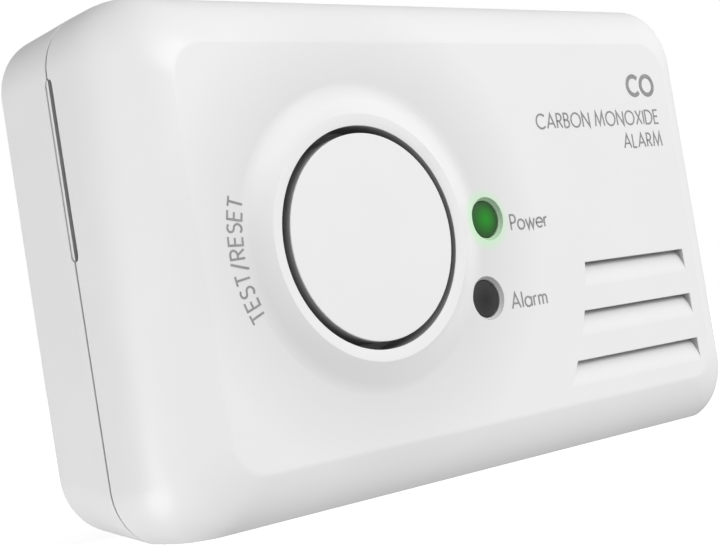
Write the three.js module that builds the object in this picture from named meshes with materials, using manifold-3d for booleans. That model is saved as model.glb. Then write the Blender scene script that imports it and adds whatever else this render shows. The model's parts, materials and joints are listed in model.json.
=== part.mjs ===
// A battery powered carbon monoxide detector for a shelf or a wall.
//
// Millimetres. The face looks along -Y, +X is to its right and +Z is up.
// The origin is the middle of the underside, half way between the button's rim and the back.
import * as THREE from "three";
import { mergeVertices } from "three/addons/utils/BufferGeometryUtils.js";
import Module from "manifold-3d";

const wasm = await Module();
wasm.setup();

// ---------------------------------------------------------------- driving dimensions

const WIDTH = 115;
const HEIGHT = 71;
const DEPTH = 31.6; // from the rim round the button to the back
const WALL = 2;
const PLAY = 0.3; // gap between two mouldings that meet

// Front cover: a flat face with a soft crease round it, and shoulders that curve back from there
// to a straight band at the seam.
const RIM_PROUD = 1.6; // how far the rim round the button stands out of the face
const COVER_DEPTH = 15.7; // face to seam
const BAND = 2.5; // the straight part of the cover's sides, next to the seam
const SHOULDER_SIDE = 9; // how far the face's left and right edges lie inside the outline
const SHOULDER_END = 8.07; // the same for its top and bottom edges
const SHOULDER_POWER = 3.2; // 2 is an ellipse, more is squarer
const SHOULDER_TURN = 58; // degrees of the curve before the crease, 90 being tangent to the face
const CORNER_SEAM = 8.6;
const CORNER_FACE = 4.8;
const CORNER_BACK = 8.8;

// Rear housing: its walls draw in towards the back, least at the top and most at the bottom.
const DRAFT_SIDE = 0.3;
const DRAFT_TOP = 0.1;
const DRAFT_BOTTOM = 2.1;
const BACK_EDGE_RADIUS = 1.5;

// Test button
const BUTTON_X = -21.65;
const BUTTON_Z = 36.03;
const WELL_RADIUS = 15.27;
const CAP_RADIUS = 14.2;
const RIM_RADIUS = 16.9; // crest of the rim, its outer edge
const RIM_DISH = 0.3; // how far the rim falls from there to the well
const MOUND_RADIUS = 21.3; // where the mound round the button runs out into the face
const MOUND_POWER = 1.7; // above 1 the mound's foot is tangent to the face
const STEM_HOLE_RADIUS = 3.4;

// Lamps, on an arc round the button
const LAMP_ARC = 23.64;
const POWER_ANGLE = 2.4;
const ALARM_ANGLE = -26.3;
const LAMP_HOLE_RADIUS = 3.15;
const LAMP_RADIUS = 2.65;
const LAMP_BORE = 2.8; // radius of a lamp hole below the cone at its mouth
const LAMP_CONE = 0.6; // depth of that cone
const LAMP_SUNK = 0.4; // how far the lens lies below the face
const LAMP_CROWN = 0.3;
const LEAD_SPACING = 2.54;

// Sounder louvres: their left ends lie on an arc round the button.
const LOUVRE_RIGHT = 45.93;
const LOUVRE_ARC = 43.86;
const LOUVRE_TOP = 28.8;
const LOUVRE_PITCH = 7.36;
const LOUVRE_HEIGHT = 3.9;
const LOUVRE_DEPTH = 1.6; // at the top edge, so deeper than the wall of the sounder's chamber
const LOUVRE_LAP = 0.4; // how far the louvre's floor runs up behind the wall
const LOUVRE_COUNT = 3;

// Side vents, one in each side wall at the seam, each in the middle of a shallow recess
const VENT_BOTTOM = 38.3;
const VENT_LENGTH = 23.7;
const VENT_OPENING = 0.75;
const VENT_MARGIN_FRONT = 0.2; // how far the recess reaches past the opening
const VENT_MARGIN_BACK = 0.55;
const VENT_MARGIN_END = 0.1;
const VENT_SUNK = 0.22; // depth of the recess

// Sounder
const SOUNDER_X = 33;
const SOUNDER_Z = 20.5;
const DISC_RADIUS = 13.5;
const CHAMBER_RADIUS = DISC_RADIUS - 0.9; // inside of the ring that holds the disc's edge
const CHAMBER_WALL = 1.35; // thickness of the face in front of the disc

// Batteries: size AA, lying along X, one above the other
const CELL_RADIUS = 7.1;
const CELL_LENGTH = 50.5;
const CELL_Y = 6.05;
const CELL_LOWER_Z = 12.1;
const CELL_UPPER_Z = 27.2;
const BAY_HALF = 28.6;
const BAY_LOW = 4.6;
const BAY_HIGH = 34.8;
const BAY_FRONT = -1.5;
const BAY_WALL = 1.8;

// Circuit board
const BOARD_FRONT = -4.6;
const BOARD_THICK = 1.6;
const BOARD_HALF = 43.5;
const BOARD_LOW = 6.5;
const BOARD_HIGH = 64.5;

// Case screws, driven from the back into the cover's corners
const CASE_SCREW_X = 50;
const CASE_SCREW_LOW = 8.6;
const CASE_SCREW_HIGH = 62.4;
const BOSS_RADIUS = 2.9; // in the cover
const PILOT_RADIUS = 1.6;
const COLUMN_RADIUS = 4.3; // in the rear housing
const SCREW_WELL_RADIUS = 3.1;
const SCREW_WELL_FLOOR = 4.6;
const POST_RADIUS = 2.8; // behind the board

// Keyholes: a head goes in at the bottom and its shank slides up the slot.
const KEYHOLE_X = 42;
const KEYHOLE_Z = 45.5;
const KEYHOLE_RISE = 7;
const KEYHOLE_HEAD = 4;
const KEYHOLE_SHANK = 2.2;
const KEYHOLE_POCKET = 9.8; // depth at which the space behind a keyhole ends

// Back of the case: two feet, the label's recess, and the finger and thumb recesses at the door
const FOOT_X = 38;
const FOOT_HALF = 3;
const LABEL_HALF = 27;
const LABEL_LOW = 44;
const LABEL_HIGH = 63;
const LABEL_SUNK = 0.35;
const FINGER_RADIUS = 7;
const THUMB_RADIUS = 6;
const FINGER_SUNK = 0.9;

// Gas sensor, on the back of the board
const SENSOR_X = 22;
const SENSOR_Z = 51;
const SENSOR_RADIUS = 9;

// ---------------------------------------------------------------- places that follow from them

const RIM_Y = -DEPTH / 2;
const FACE_Y = RIM_Y + RIM_PROUD;
const SEAM_Y = FACE_Y + COVER_DEPTH;
const BACK_Y = DEPTH / 2;
const BOARD_BACK = BOARD_FRONT + BOARD_THICK;
const BACK_INSIDE = BACK_Y - WALL;
const BUTTON_FACE = RIM_Y + 0.05;
const WELL_FLOOR = -9.9;
const WELL_FLOOR_THICK = 1.2;
const SWITCH_TOP = -6.6;
const DOOR_HALF = BAY_HALF + 0.9;
const DOOR_LOW = BAY_LOW + 0.5;
const DOOR_HIGH = BAY_HIGH + 0.9;
const DOOR_TAB_X = 18;
const DOOR_TAB_HALF = 3;
const SIDES = [-1, 1];
const ROUND = 48; // sides of the button and of what surrounds it

const LAMP_SPOTS = [POWER_ANGLE, ALARM_ANGLE].map((degrees) => {
  const angle = THREE.MathUtils.degToRad(degrees);
  return [BUTTON_X + LAMP_ARC * Math.cos(angle), BUTTON_Z + LAMP_ARC * Math.sin(angle)];
});
const CELL_HEIGHTS = [CELL_LOWER_Z, CELL_UPPER_Z];
const CASE_SCREWS = SIDES.flatMap((side) => [
  [side * CASE_SCREW_X, CASE_SCREW_LOW],
  [side * CASE_SCREW_X, CASE_SCREW_HIGH],
]);
const BOARD_SCREWS = [
  [-38, 10.5],
  [-38, 60.5],
  [38, 60.5],
  [37.5, 38.6],
];

// ---------------------------------------------------------------- solids

// A closed geometry as a manifold-3d solid. One whose faces point inwards is turned round.
function solid(geometry) {
  const bare = geometry.clone();
  bare.deleteAttribute("normal");
  bare.deleteAttribute("uv");
  const merged = mergeVertices(bare, 1e-4);
  const corners = merged.index.array;
  const kept = [];
  for (let i = 0; i < corners.length; i += 3) {
    const [a, b, c] = [corners[i], corners[i + 1], corners[i + 2]];
    if (a !== b && b !== c && c !== a) kept.push(a, b, c);
  }
  const build = (triangles) =>
    new wasm.Manifold(
      new wasm.Mesh({
        numProp: 3,
        vertProperties: new Float32Array(merged.attributes.position.array),
        triVerts: new Uint32Array(triangles),
      }),
    );
  const made = build(kept);
  return made.volume() < 0 ? build(kept.reverse()) : made;
}

// A solid back as a geometry for a THREE.Mesh.
function geometryOf(shape) {
  const mesh = shape.getMesh();
  const geometry = new THREE.BufferGeometry();
  geometry.setAttribute("position", new THREE.BufferAttribute(mesh.vertProperties, 3));
  geometry.setIndex(new THREE.BufferAttribute(mesh.triVerts, 1));
  geometry.computeVertexNormals();
  return geometry;
}

const join = (shapes) => shapes.reduce((all, shape) => all.add(shape));

// A block between two opposite corners.
function block([x0, y0, z0], [x1, y1, z1]) {
  const box = new THREE.BoxGeometry(x1 - x0, y1 - y0, z1 - z0);
  return solid(box.translate((x0 + x1) / 2, (y0 + y1) / 2, (z0 + z1) / 2));
}

// A solid of revolution about a line along Y through (x, z). Profile points are [radius, y].
function turned(profile, x = 0, z = 0, segments = 32) {
  const points = profile.map(([radius, y]) => new THREE.Vector2(radius, y));
  return solid(new THREE.LatheGeometry(points, segments).translate(x, 0, z));
}

// A round bar along Y, or with a bore in it when innerRadius is given.
function roundBar(radius, front, back, x = 0, z = 0, segments = 32, innerRadius = 0) {
  const outline = [
    [innerRadius, front],
    [radius, front],
    [radius, back],
    [innerRadius, back],
  ];
  if (innerRadius > 0) outline.push(outline[0]);
  return turned(outline, x, z, segments);
}

// A flat outline in X and Z, given as a THREE.Shape, extruded from one depth to another.
function plate(shape, front, back, curveSegments = 8) {
  const options = { depth: back - front, bevelEnabled: false, curveSegments };
  return solid(new THREE.ExtrudeGeometry(shape, options).rotateX(Math.PI / 2).translate(0, back, 0));
}

// A wire along a helix about the Y axis, with its ends closed.
class Helix extends THREE.Curve {
  constructor(radiusFront, radiusBack, front, back, turns) {
    super();
    Object.assign(this, { radiusFront, radiusBack, front, back, turns });
  }

  getPoint(t, target = new THREE.Vector3()) {
    const angle = 2 * Math.PI * this.turns * t;
    const radius = THREE.MathUtils.lerp(this.radiusFront, this.radiusBack, t);
    const y = THREE.MathUtils.lerp(this.front, this.back, t);
    return target.set(radius * Math.cos(angle), y, radius * Math.sin(angle));
  }
}

function coil(curve, wireRadius) {
  const section = new THREE.Shape();
  section.absarc(0, 0, wireRadius, 0, 2 * Math.PI);
  const steps = Math.round(curve.turns * 8);
  return solid(new THREE.ExtrudeGeometry(section, { steps, extrudePath: curve, curveSegments: 3 }));
}

// A rounded rectangle of points [x, z], lowest at zLow and highest at zHigh.
function roundedOutline({ half, zLow, zHigh, radius }, steps = 5) {
  const corners = [
    [half - radius, zHigh - radius, 0],
    [radius - half, zHigh - radius, 1],
    [radius - half, zLow + radius, 2],
    [half - radius, zLow + radius, 3],
  ];
  return corners.flatMap(([x, z, quarter]) =>
    Array.from({ length: steps + 1 }, (_, i) => {
      const angle = (quarter + i / steps) * (Math.PI / 2);
      return [x + radius * Math.cos(angle), z + radius * Math.sin(angle)];
    }),
  );
}

// A closed body through outlines at rising depths, capped at both ends.
function loft(stations) {
  const rings = stations.map((station) => roundedOutline(station).map(([x, z]) => [x, station.y, z]));
  const count = rings[0].length;
  const positions = rings.flat(2);
  const index = [];
  for (let ring = 0; ring + 1 < rings.length; ring++) {
    for (let i = 0; i < count; i++) {
      const a = ring * count + i;
      const b = ring * count + ((i + 1) % count);
      index.push(a, b, b + count, a, b + count, a + count);
    }
  }
  for (let i = 1; i + 1 < count; i++) {
    const last = (rings.length - 1) * count;
    index.push(0, i + 1, i, last, last + i, last + i + 1);
  }
  const geometry = new THREE.BufferGeometry();
  geometry.setAttribute("position", new THREE.Float32BufferAttribute(positions, 3));
  geometry.setIndex(index);
  return solid(geometry);
}

// ---------------------------------------------------------------- outline of the case

// The shoulder's curve at share t, from the band (0) to the crease at the face (1): how far in it
// has come as a share of the shoulder's width, and its depth.
function shoulder(t) {
  const last = THREE.MathUtils.degToRad(SHOULDER_TURN);
  const across = (angle) => 1 - Math.cos(angle) ** (2 / SHOULDER_POWER);
  const forward = (angle) => Math.sin(angle) ** (2 / SHOULDER_POWER);
  const share = across(t * last) / across(last);
  const y = FACE_Y + (COVER_DEPTH - BAND) * (1 - forward(t * last) / forward(last));
  return { share, y };
}

// The case's outline at the shoulder's share t, moved inwards by a wall's thickness.
function shoulderStation(t, inset = 0) {
  const step = 0.01;
  const before = shoulder(Math.max(t - step, 0));
  const after = shoulder(Math.min(t + step, 1));
  const across = (after.share - before.share) * SHOULDER_SIDE;
  const along = before.y - after.y;
  const length = Math.hypot(across, along);
  const { share, y } = shoulder(t);
  const sideways = (inset * along) / length;
  return {
    y: y + (inset * across) / length,
    half: WIDTH / 2 - SHOULDER_SIDE * share - sideways,
    zLow: SHOULDER_END * share + sideways,
    zHigh: HEIGHT - SHOULDER_END * share - sideways,
    radius: THREE.MathUtils.lerp(CORNER_SEAM, CORNER_FACE, share) - inset,
  };
}

// The case's outline behind the shoulders.
function rearStation(y, inset = 0) {
  const drawn = THREE.MathUtils.clamp((y - SEAM_Y) / (BACK_Y - SEAM_Y), 0, 1);
  return {
    y,
    half: WIDTH / 2 - DRAFT_SIDE * drawn - inset,
    zLow: DRAFT_BOTTOM * drawn + inset,
    zHigh: HEIGHT - DRAFT_TOP * drawn - inset,
    radius: THREE.MathUtils.lerp(CORNER_SEAM, CORNER_BACK, drawn) - inset,
  };
}

// The space the cover fills, or with an inset the space inside it, as far back as one depth.
function coverSpace(back, inset = 0) {
  const steps = 8;
  const shoulders = Array.from({ length: steps + 1 }, (_, i) => shoulderStation(1 - i / steps, inset));
  return loft([...shoulders, rearStation(back, inset)]);
}

// The same for the rear housing, from one depth to another, with its back edge rounded off.
function housingSpace(front, back, inset = 0, edge = 0) {
  const stations = [rearStation(front, inset)];
  for (const quarter of edge > 0 ? [0, 1, 2, 3] : [0]) {
    const angle = (quarter * Math.PI) / 6;
    const y = back - edge * (1 - Math.sin(angle));
    stations.push(rearStation(y, inset + edge * (1 - Math.cos(angle))));
  }
  return loft(stations);
}

// ---------------------------------------------------------------- cover

// The mound that the button sits in: a concave slope that rises to the crest of the rim.
function mound() {
  const profile = [[0, FACE_Y + 1], [MOUND_RADIUS, FACE_Y + 1], [MOUND_RADIUS, FACE_Y]];
  const steps = 5;
  for (let i = 1; i <= steps; i++) {
    const share = i / steps;
    const rise = RIM_PROUD * share ** MOUND_POWER;
    profile.push([THREE.MathUtils.lerp(MOUND_RADIUS, RIM_RADIUS, share), FACE_Y - rise]);
  }
  profile.push([0, RIM_Y]);
  return turned(profile, BUTTON_X, BUTTON_Z, ROUND);
}

// An outline of [y, z] points, extruded across the case from one x to another.
function prism(outline, left, right) {
  const shape = new THREE.Shape(outline.map(([y, z]) => new THREE.Vector2(y, z)));
  const geometry = new THREE.ExtrudeGeometry(shape, { depth: right - left, bevelEnabled: false });
  const [x, y, z] = [new THREE.Vector3(1), new THREE.Vector3(0, 1), new THREE.Vector3(0, 0, 1)];
  return solid(geometry.applyMatrix4(new THREE.Matrix4().makeBasis(y, z, x)).translate(left, 0, 0));
}

// One louvre: a scoop whose floor slopes in from the face to behind the wall above, which leaves
// a slit for the sound, and the sloping plate that is its floor.
function louvre(top) {
  const middle = top - LOUVRE_HEIGHT / 2 - BUTTON_Z;
  const left = BUTTON_X + Math.sqrt(LOUVRE_ARC ** 2 - middle ** 2);
  const low = top - LOUVRE_HEIGHT;
  const slope = LOUVRE_DEPTH / LOUVRE_HEIGHT;
  const plateTop = top + LOUVRE_LAP;
  const plateBack = FACE_Y + slope * (LOUVRE_HEIGHT + LOUVRE_LAP);
  const scoop = [[FACE_Y - 1, top], [FACE_Y - 1, low], [FACE_Y, low], [FACE_Y + LOUVRE_DEPTH, top]];
  const floor = [
    [FACE_Y + slope, low + 1],
    [plateBack, plateTop],
    [plateBack + 1, plateTop],
    [FACE_Y + WALL + 0.5, low],
    [FACE_Y + CHAMBER_WALL / 2, low],
  ];
  return {
    scoop: prism(scoop, left, LOUVRE_RIGHT),
    floor: prism(floor, left - 0.5, LOUVRE_RIGHT + 0.5),
  };
}

// What is cut away for the button: the rim's dished front and the well behind it.
function wellHole() {
  const profile = [
    [0, RIM_Y - 1],
    [RIM_RADIUS - 0.03, RIM_Y - 1],
    [RIM_RADIUS - 0.03, RIM_Y],
    [WELL_RADIUS, RIM_Y + RIM_DISH],
    [WELL_RADIUS, WELL_FLOOR],
    [0, WELL_FLOOR],
  ];
  return turned(profile, BUTTON_X, BUTTON_Z, ROUND);
}

// What is cut away for a lamp: a cone at the face, then a bore with little room round the lens.
function lampHole(x, z, back) {
  const profile = [
    [0, RIM_Y - 1],
    [LAMP_HOLE_RADIUS, RIM_Y - 1],
    [LAMP_HOLE_RADIUS, FACE_Y],
    [LAMP_BORE, FACE_Y + LAMP_CONE],
    [LAMP_BORE, back],
    [0, back],
  ];
  return turned(profile, x, z, 24);
}

function frontCover() {
  const outside = coverSpace(SEAM_Y);
  const face = FACE_Y + WALL;
  let shell = outside.subtract(coverSpace(SEAM_Y + 1, WALL)).add(mound());
  const bosses = CASE_SCREWS.map(([x, z]) => roundBar(BOSS_RADIUS, FACE_Y, SEAM_Y - 0.4, x, z, 16));
  const shroudBack = face + 4.6;
  const shrouds = LAMP_SPOTS.map(([x, z]) =>
    roundBar(LAMP_HOLE_RADIUS + 1, FACE_Y + 0.5, shroudBack, x, z, 24),
  );
  const well = roundBar(RIM_RADIUS, FACE_Y, WELL_FLOOR + WELL_FLOOR_THICK, BUTTON_X, BUTTON_Z, ROUND);
  const ringBack = face + 2.8;
  const chamber = roundBar(DISC_RADIUS + 0.5, face - 0.5, ringBack, SOUNDER_X, SOUNDER_Z, 40);
  shell = shell.add(join([...bosses, chamber, ...shrouds, well]).intersect(outside));
  const cuts = [
    wellHole(),
    roundBar(STEM_HOLE_RADIUS, WELL_FLOOR - 1, WELL_FLOOR + 3, BUTTON_X, BUTTON_Z, 24),
    roundBar(CHAMBER_RADIUS, FACE_Y + CHAMBER_WALL, ringBack + 1, SOUNDER_X, SOUNDER_Z, 40),
    ...CASE_SCREWS.map(([x, z]) => roundBar(PILOT_RADIUS, SEAM_Y - 8.5, SEAM_Y + 1, x, z, 12)),
    ...LAMP_SPOTS.map(([x, z]) => lampHole(x, z, shroudBack + 1)),
  ];
  for (const side of SIDES) {
    cuts.push(ventCut(side, SEAM_Y - VENT_OPENING, SEAM_Y + 1));
    cuts.push(ventRecess(side));
  }
  const louvres = Array.from({ length: LOUVRE_COUNT }, (_, i) => louvre(LOUVRE_TOP - i * LOUVRE_PITCH));
  return shell
    .subtract(join(cuts))
    .add(join(louvres.map(({ floor }) => floor)))
    .subtract(join(louvres.map(({ scoop }) => scoop)));
}

// A block that cuts a side wall from outside, from one depth to another. It is as long as the
// vent, or longer by a margin at both ends, and goes through the wall unless it is less deep.
function ventCut(side, front, back, margin = 0, deep = 5) {
  const near = side * (WIDTH / 2 - deep);
  const far = side * (WIDTH / 2 + 1);
  return block(
    [Math.min(near, far), front, VENT_BOTTOM - margin],
    [Math.max(near, far), back, VENT_BOTTOM + VENT_LENGTH + margin],
  );
}

function ventRecess(side) {
  const front = SEAM_Y - VENT_OPENING - VENT_MARGIN_FRONT;
  return ventCut(side, front, SEAM_Y + PLAY + VENT_MARGIN_BACK, VENT_MARGIN_END, VENT_SUNK);
}

// ---------------------------------------------------------------- rear housing and battery door

// A keyhole's outline, a clearance larger all round: the head's hole, and the slot above it.
function keyholeOutline(x, headRadius, slotHalf) {
  const outline = new THREE.Shape();
  const lean = Math.asin(slotHalf / headRadius);
  outline.absarc(x, KEYHOLE_Z, headRadius, Math.PI / 2 + lean, Math.PI / 2 - lean + 2 * Math.PI);
  outline.absarc(x, KEYHOLE_Z + KEYHOLE_RISE, slotHalf, 0, Math.PI);
  outline.closePath();
  return outline;
}

// The keyhole through the back wall, and the wider space behind it that the screw's head slides in.
function keyhole(x) {
  const mouth = keyholeOutline(x, KEYHOLE_HEAD, KEYHOLE_SHANK);
  const pocket = keyholeOutline(x, KEYHOLE_HEAD, KEYHOLE_HEAD - 0.1);
  return [plate(mouth, BACK_INSIDE - 1, BACK_Y + 1, 6), plate(pocket, KEYHOLE_POCKET, BACK_INSIDE, 6)];
}

// The slot behind the back wall's lower strip that one of the door's tabs hooks into.
function doorTabSlot(x) {
  const half = DOOR_TAB_HALF + 0.4;
  return block([x - half, 11.4, 3.3], [x + half, BACK_INSIDE, BAY_LOW + 1]);
}

// A slit for a terminal's solder tab, in the bay's front wall or in the board.
function solderTabSlit(front, back, z) {
  return block([BAY_HALF - 1.2, front, z - 1.9], [BAY_HALF, back, z + 1.9]);
}

function rearHousing() {
  const front = SEAM_Y + PLAY;
  const lipFront = SEAM_Y - 1.6;
  const lipInset = WALL + PLAY;
  const lipBack = front + 2.4;
  const shell = housingSpace(front, BACK_Y, 0, BACK_EDGE_RADIUS)
    .subtract(housingSpace(front - 1, BACK_INSIDE, WALL));
  const lip = housingSpace(lipFront, lipBack, lipInset)
    .add(housingSpace(front, lipBack, WALL - 0.5))
    .subtract(housingSpace(lipFront - 1, lipBack + 1, lipInset + 1));

  const bayOut = [BAY_HALF + BAY_WALL, BACK_INSIDE + 0.5, BAY_HIGH + BAY_WALL];
  const bay = block([-bayOut[0], BAY_FRONT - 1.2, BAY_LOW - 1.5], bayOut);
  const inside = housingSpace(lipFront, BACK_Y - 0.5, 1);
  const ends = BACK_Y - 1; // everything inside runs into the back wall
  const columns = CASE_SCREWS.map(([x, z]) => roundBar(COLUMN_RADIUS, front, ends, x, z, 20));
  const posts = BOARD_SCREWS.map(([x, z]) => roundBar(POST_RADIUS, BOARD_BACK + 0.1, ends, x, z, 16));
  const pockets = SIDES.map((side) => {
    const outline = keyholeOutline(side * KEYHOLE_X, KEYHOLE_HEAD + 1.2, KEYHOLE_HEAD + 1.1);
    return plate(outline, KEYHOLE_POCKET - 1, ends, 6);
  });
  const feet = SIDES.map((side) => {
    const [left, right] = [side * FOOT_X - FOOT_HALF, side * FOOT_X + FOOT_HALF];
    return block([left, BACK_Y - 4.6, 0], [right, BACK_Y - 2, DRAFT_BOTTOM + 1]);
  });
  const behindBoard = block([-50, BOARD_BACK, 10], [50, SEAM_Y, 62]);
  const fillets = join([bay, ...columns, ...posts, ...pockets]).intersect(inside.add(behindBoard));
  const body = join([shell, lip, fillets, ...feet]);

  const door = [DOOR_HALF, BACK_Y + 1, DOOR_HIGH];
  const cuts = [
    block([-BAY_HALF, BAY_FRONT, BAY_LOW], [BAY_HALF, BACK_Y + 1, BAY_HIGH]),
    block([-DOOR_HALF, BACK_INSIDE - 0.1, DOOR_LOW], door),
    roundBar(FINGER_RADIUS, BACK_Y - FINGER_SUNK, BACK_Y + 1, 0, DOOR_HIGH, 24),
    block([-LABEL_HALF, BACK_Y - LABEL_SUNK, LABEL_LOW], [LABEL_HALF, BACK_Y + 1, LABEL_HIGH]),
    ...CASE_SCREWS.flatMap(([x, z]) => [
      roundBar(SCREW_WELL_RADIUS, SCREW_WELL_FLOOR, BACK_Y + 1, x, z, 20),
      roundBar(1.9, SEAM_Y - 3, SCREW_WELL_FLOOR + 1, x, z, 12),
    ]),
    ...BOARD_SCREWS.map(([x, z]) => roundBar(1.3, BOARD_BACK - 1, BOARD_BACK + 7, x, z, 12)),
    ...SIDES.flatMap((side) => [...keyhole(side * KEYHOLE_X), doorTabSlot(side * DOOR_TAB_X)]),
    ...SIDES.flatMap((side) => [ventCut(side, SEAM_Y - 2, SEAM_Y), ventRecess(side)]),
    ...CELL_HEIGHTS.map((z) => solderTabSlit(BAY_FRONT - 2, BAY_FRONT + 1, z)),
  ];
  return body.subtract(join(cuts));
}

// The door turns on two tabs behind the back wall's lower strip.
function batteryDoor() {
  const half = DOOR_HALF - PLAY;
  const panel = block([-half, BACK_INSIDE, DOOR_LOW + PLAY], [half, BACK_Y, DOOR_HIGH - PLAY]);
  const tabs = SIDES.flatMap((side) => {
    const [left, right] = [side * DOOR_TAB_X - DOOR_TAB_HALF, side * DOOR_TAB_X + DOOR_TAB_HALF];
    return [
      block([left, 12.3, 3.7], [right, 13.5, 7.6]),
      block([left, 13, DOOR_LOW + PLAY + 0.1], [right, BACK_INSIDE + 0.5, 7.6]),
    ];
  });
  const thumbRecess = roundBar(THUMB_RADIUS, BACK_Y - FINGER_SUNK, BACK_Y + 1, 0, DOOR_HIGH - 1, 24);
  return join([panel, ...tabs]).subtract(thumbRecess);
}

// ---------------------------------------------------------------- button and switch

// The cap, its skirt, and the stem whose split end snaps through the well's floor.
function testButton() {
  const rounding = 0.6;
  const top = BUTTON_FACE;
  const skirtBack = WELL_FLOOR - 1.2;
  const underside = top + 1.8;
  const floorBack = WELL_FLOOR + WELL_FLOOR_THICK;
  return turned(
    [
      [0, top],
      [CAP_RADIUS - rounding, top],
      [CAP_RADIUS - rounding * 0.3, top + rounding * 0.3],
      [CAP_RADIUS, top + rounding],
      [CAP_RADIUS, skirtBack],
      [CAP_RADIUS - 1.5, skirtBack],
      [CAP_RADIUS - 1.5, underside],
      [3, underside],
      [3, floorBack + 0.15],
      [3.9, floorBack + 0.15],
      [3.9, floorBack + 0.8],
      [3.2, floorBack + 1.15],
      [0, floorBack + 1.15],
    ],
    0,
    0,
    ROUND,
  );
}

function buttonSpring() {
  const wire = 0.35;
  const front = BUTTON_FACE + 1.8 + wire + 0.1;
  const back = WELL_FLOOR - wire - 0.1;
  return coil(new Helix(5, 5, front, back, 3), wire);
}

function switchBody() {
  const body = block([-3.1, SWITCH_TOP, -3.1], [3.1, BOARD_FRONT - 0.1, 3.1]);
  return body.subtract(roundBar(1.85, SWITCH_TOP - 1, SWITCH_TOP + 1.3, 0, 0, 20));
}

function switchPlunger() {
  return roundBar(1.6, SWITCH_TOP - 0.5, SWITCH_TOP + 0.8, 0, 0, 20);
}

// ---------------------------------------------------------------- board and its components

// A lamp: a round lens with a low crown and a flange, on two legs that go through the board.
function lamp() {
  const base = BOARD_FRONT - 0.1;
  const flange = LAMP_RADIUS + 0.4;
  const profile = [[0, base], [flange, base], [flange, base - 1], [LAMP_RADIUS, base - 1]];
  const steps = 4;
  for (let i = 0; i <= steps; i++) {
    const share = 1 - i / steps;
    profile.push([LAMP_RADIUS * share, FACE_Y + LAMP_SUNK + LAMP_CROWN * share ** 2]);
  }
  const legs = SIDES.map((side) => {
    const x = (side * LEAD_SPACING) / 2;
    return block([x - 0.25, base - 0.5, -0.25], [x + 0.25, BOARD_BACK + 0.15, 0.25]);
  });
  return join([turned(profile, 0, 0, 20), ...legs]);
}

function mainBoard() {
  const board = block([-BOARD_HALF, BOARD_FRONT, BOARD_LOW], [BOARD_HALF, BOARD_BACK, BOARD_HIGH]);
  const hole = (radius, x, z) => roundBar(radius, BOARD_FRONT - 1, BOARD_BACK + 1, x, z, 12);
  const holes = BOARD_SCREWS.map(([x, z]) => hole(1.7, x, z));
  for (const [x, z] of LAMP_SPOTS) {
    for (const side of SIDES) holes.push(hole(0.6, x + (side * LEAD_SPACING) / 2, z));
  }
  for (const z of CELL_HEIGHTS) holes.push(solderTabSlit(BOARD_FRONT - 1, BOARD_BACK + 1, z));
  return board.subtract(join(holes));
}

// A profile point of a component that stands on the back of the board.
function onBoard([radius, height]) {
  return [radius, BOARD_BACK + 0.1 + height];
}

// A chip with gull-wing legs along two sides, lying on the back of the board.
function microcontroller() {
  const y = BOARD_BACK + 0.1;
  const body = block([-5, y + 0.2, -3.8], [5, y + 2.2, 3.8]);
  const legs = [];
  const legsPerSide = 7;
  for (const side of SIDES) {
    for (let i = 0; i < legsPerSide; i++) {
      const x = ((i - (legsPerSide - 1) / 2) * LEAD_SPACING) / 2;
      const [near, far] = [side * 3.5, side * 5.2].sort((a, b) => a - b);
      legs.push(block([x - 0.2, y, near], [x + 0.2, y + 0.4, far]));
    }
  }
  return join([body, ...legs]);
}

// A can with the groove that holds its seal.
function capacitor() {
  const radius = 3.1;
  const height = 7;
  const profile = [
    [0, 0],
    [radius, 0],
    [radius, 0.8],
    [radius - 0.3, 1.1],
    [radius, 1.4],
    [radius, height],
    [0, height],
  ];
  return turned(profile.map(onBoard), 0, 0, 24);
}

// A choke: a winding between two ferrite flanges.
function inductor() {
  const flange = 4.5;
  const winding = 3.8;
  const height = 6;
  const profile = [
    [0, 0],
    [flange, 0],
    [flange, 1],
    [winding, 1],
    [winding, height - 1],
    [flange, height - 1],
    [flange, height],
    [0, height],
  ];
  return turned(profile.map(onBoard), 0, 0, 28);
}

// ---------------------------------------------------------------- gas sensor

function sensorCan() {
  const front = BOARD_BACK + 0.2;
  const profile = [
    [0, front],
    [SENSOR_RADIUS, front],
    [SENSOR_RADIUS, front + 9.6],
    [SENSOR_RADIUS - 0.6, front + 10.2],
    [0, front + 10.2],
  ];
  return turned(profile, 0, 0, 40);
}

// The cap that holds the sensor's charcoal filter, with the hole that the air goes in by.
function sensorCap() {
  const front = BOARD_BACK + 10.6;
  const cap = roundBar(7.2, front, front + 2.2, 0, 0, 32);
  return cap.subtract(roundBar(1.6, front + 1, front + 3, 0, 0, 16));
}

// ---------------------------------------------------------------- sounder

function sounderDisc() {
  const front = FACE_Y + WALL + 2.9;
  return roundBar(DISC_RADIUS, front, front + 0.3, 0, 0, 40);
}

function sounderCeramic() {
  const front = FACE_Y + WALL + 3.3;
  return roundBar(9.5, front, front + 0.3, 0, 0, 32);
}

// The holder clips over the cover's ring and presses the disc's edge against it.
function sounderHolder() {
  const discBack = FACE_Y + WALL + 3.3;
  const back = discBack + 2.4;
  const profile = [
    [DISC_RADIUS + 0.8, discBack - 1],
    [DISC_RADIUS + 1.9, discBack - 1],
    [DISC_RADIUS + 1.9, back],
    [6, back],
    [6, back - 1],
    [DISC_RADIUS - 1.8, back - 1],
    [DISC_RADIUS - 1.8, discBack],
    [DISC_RADIUS - 0.5, discBack],
    [DISC_RADIUS - 0.5, back - 1],
    [DISC_RADIUS + 0.8, back - 1],
  ];
  return turned([...profile, profile[0]], 0, 0, 32);
}

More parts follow.
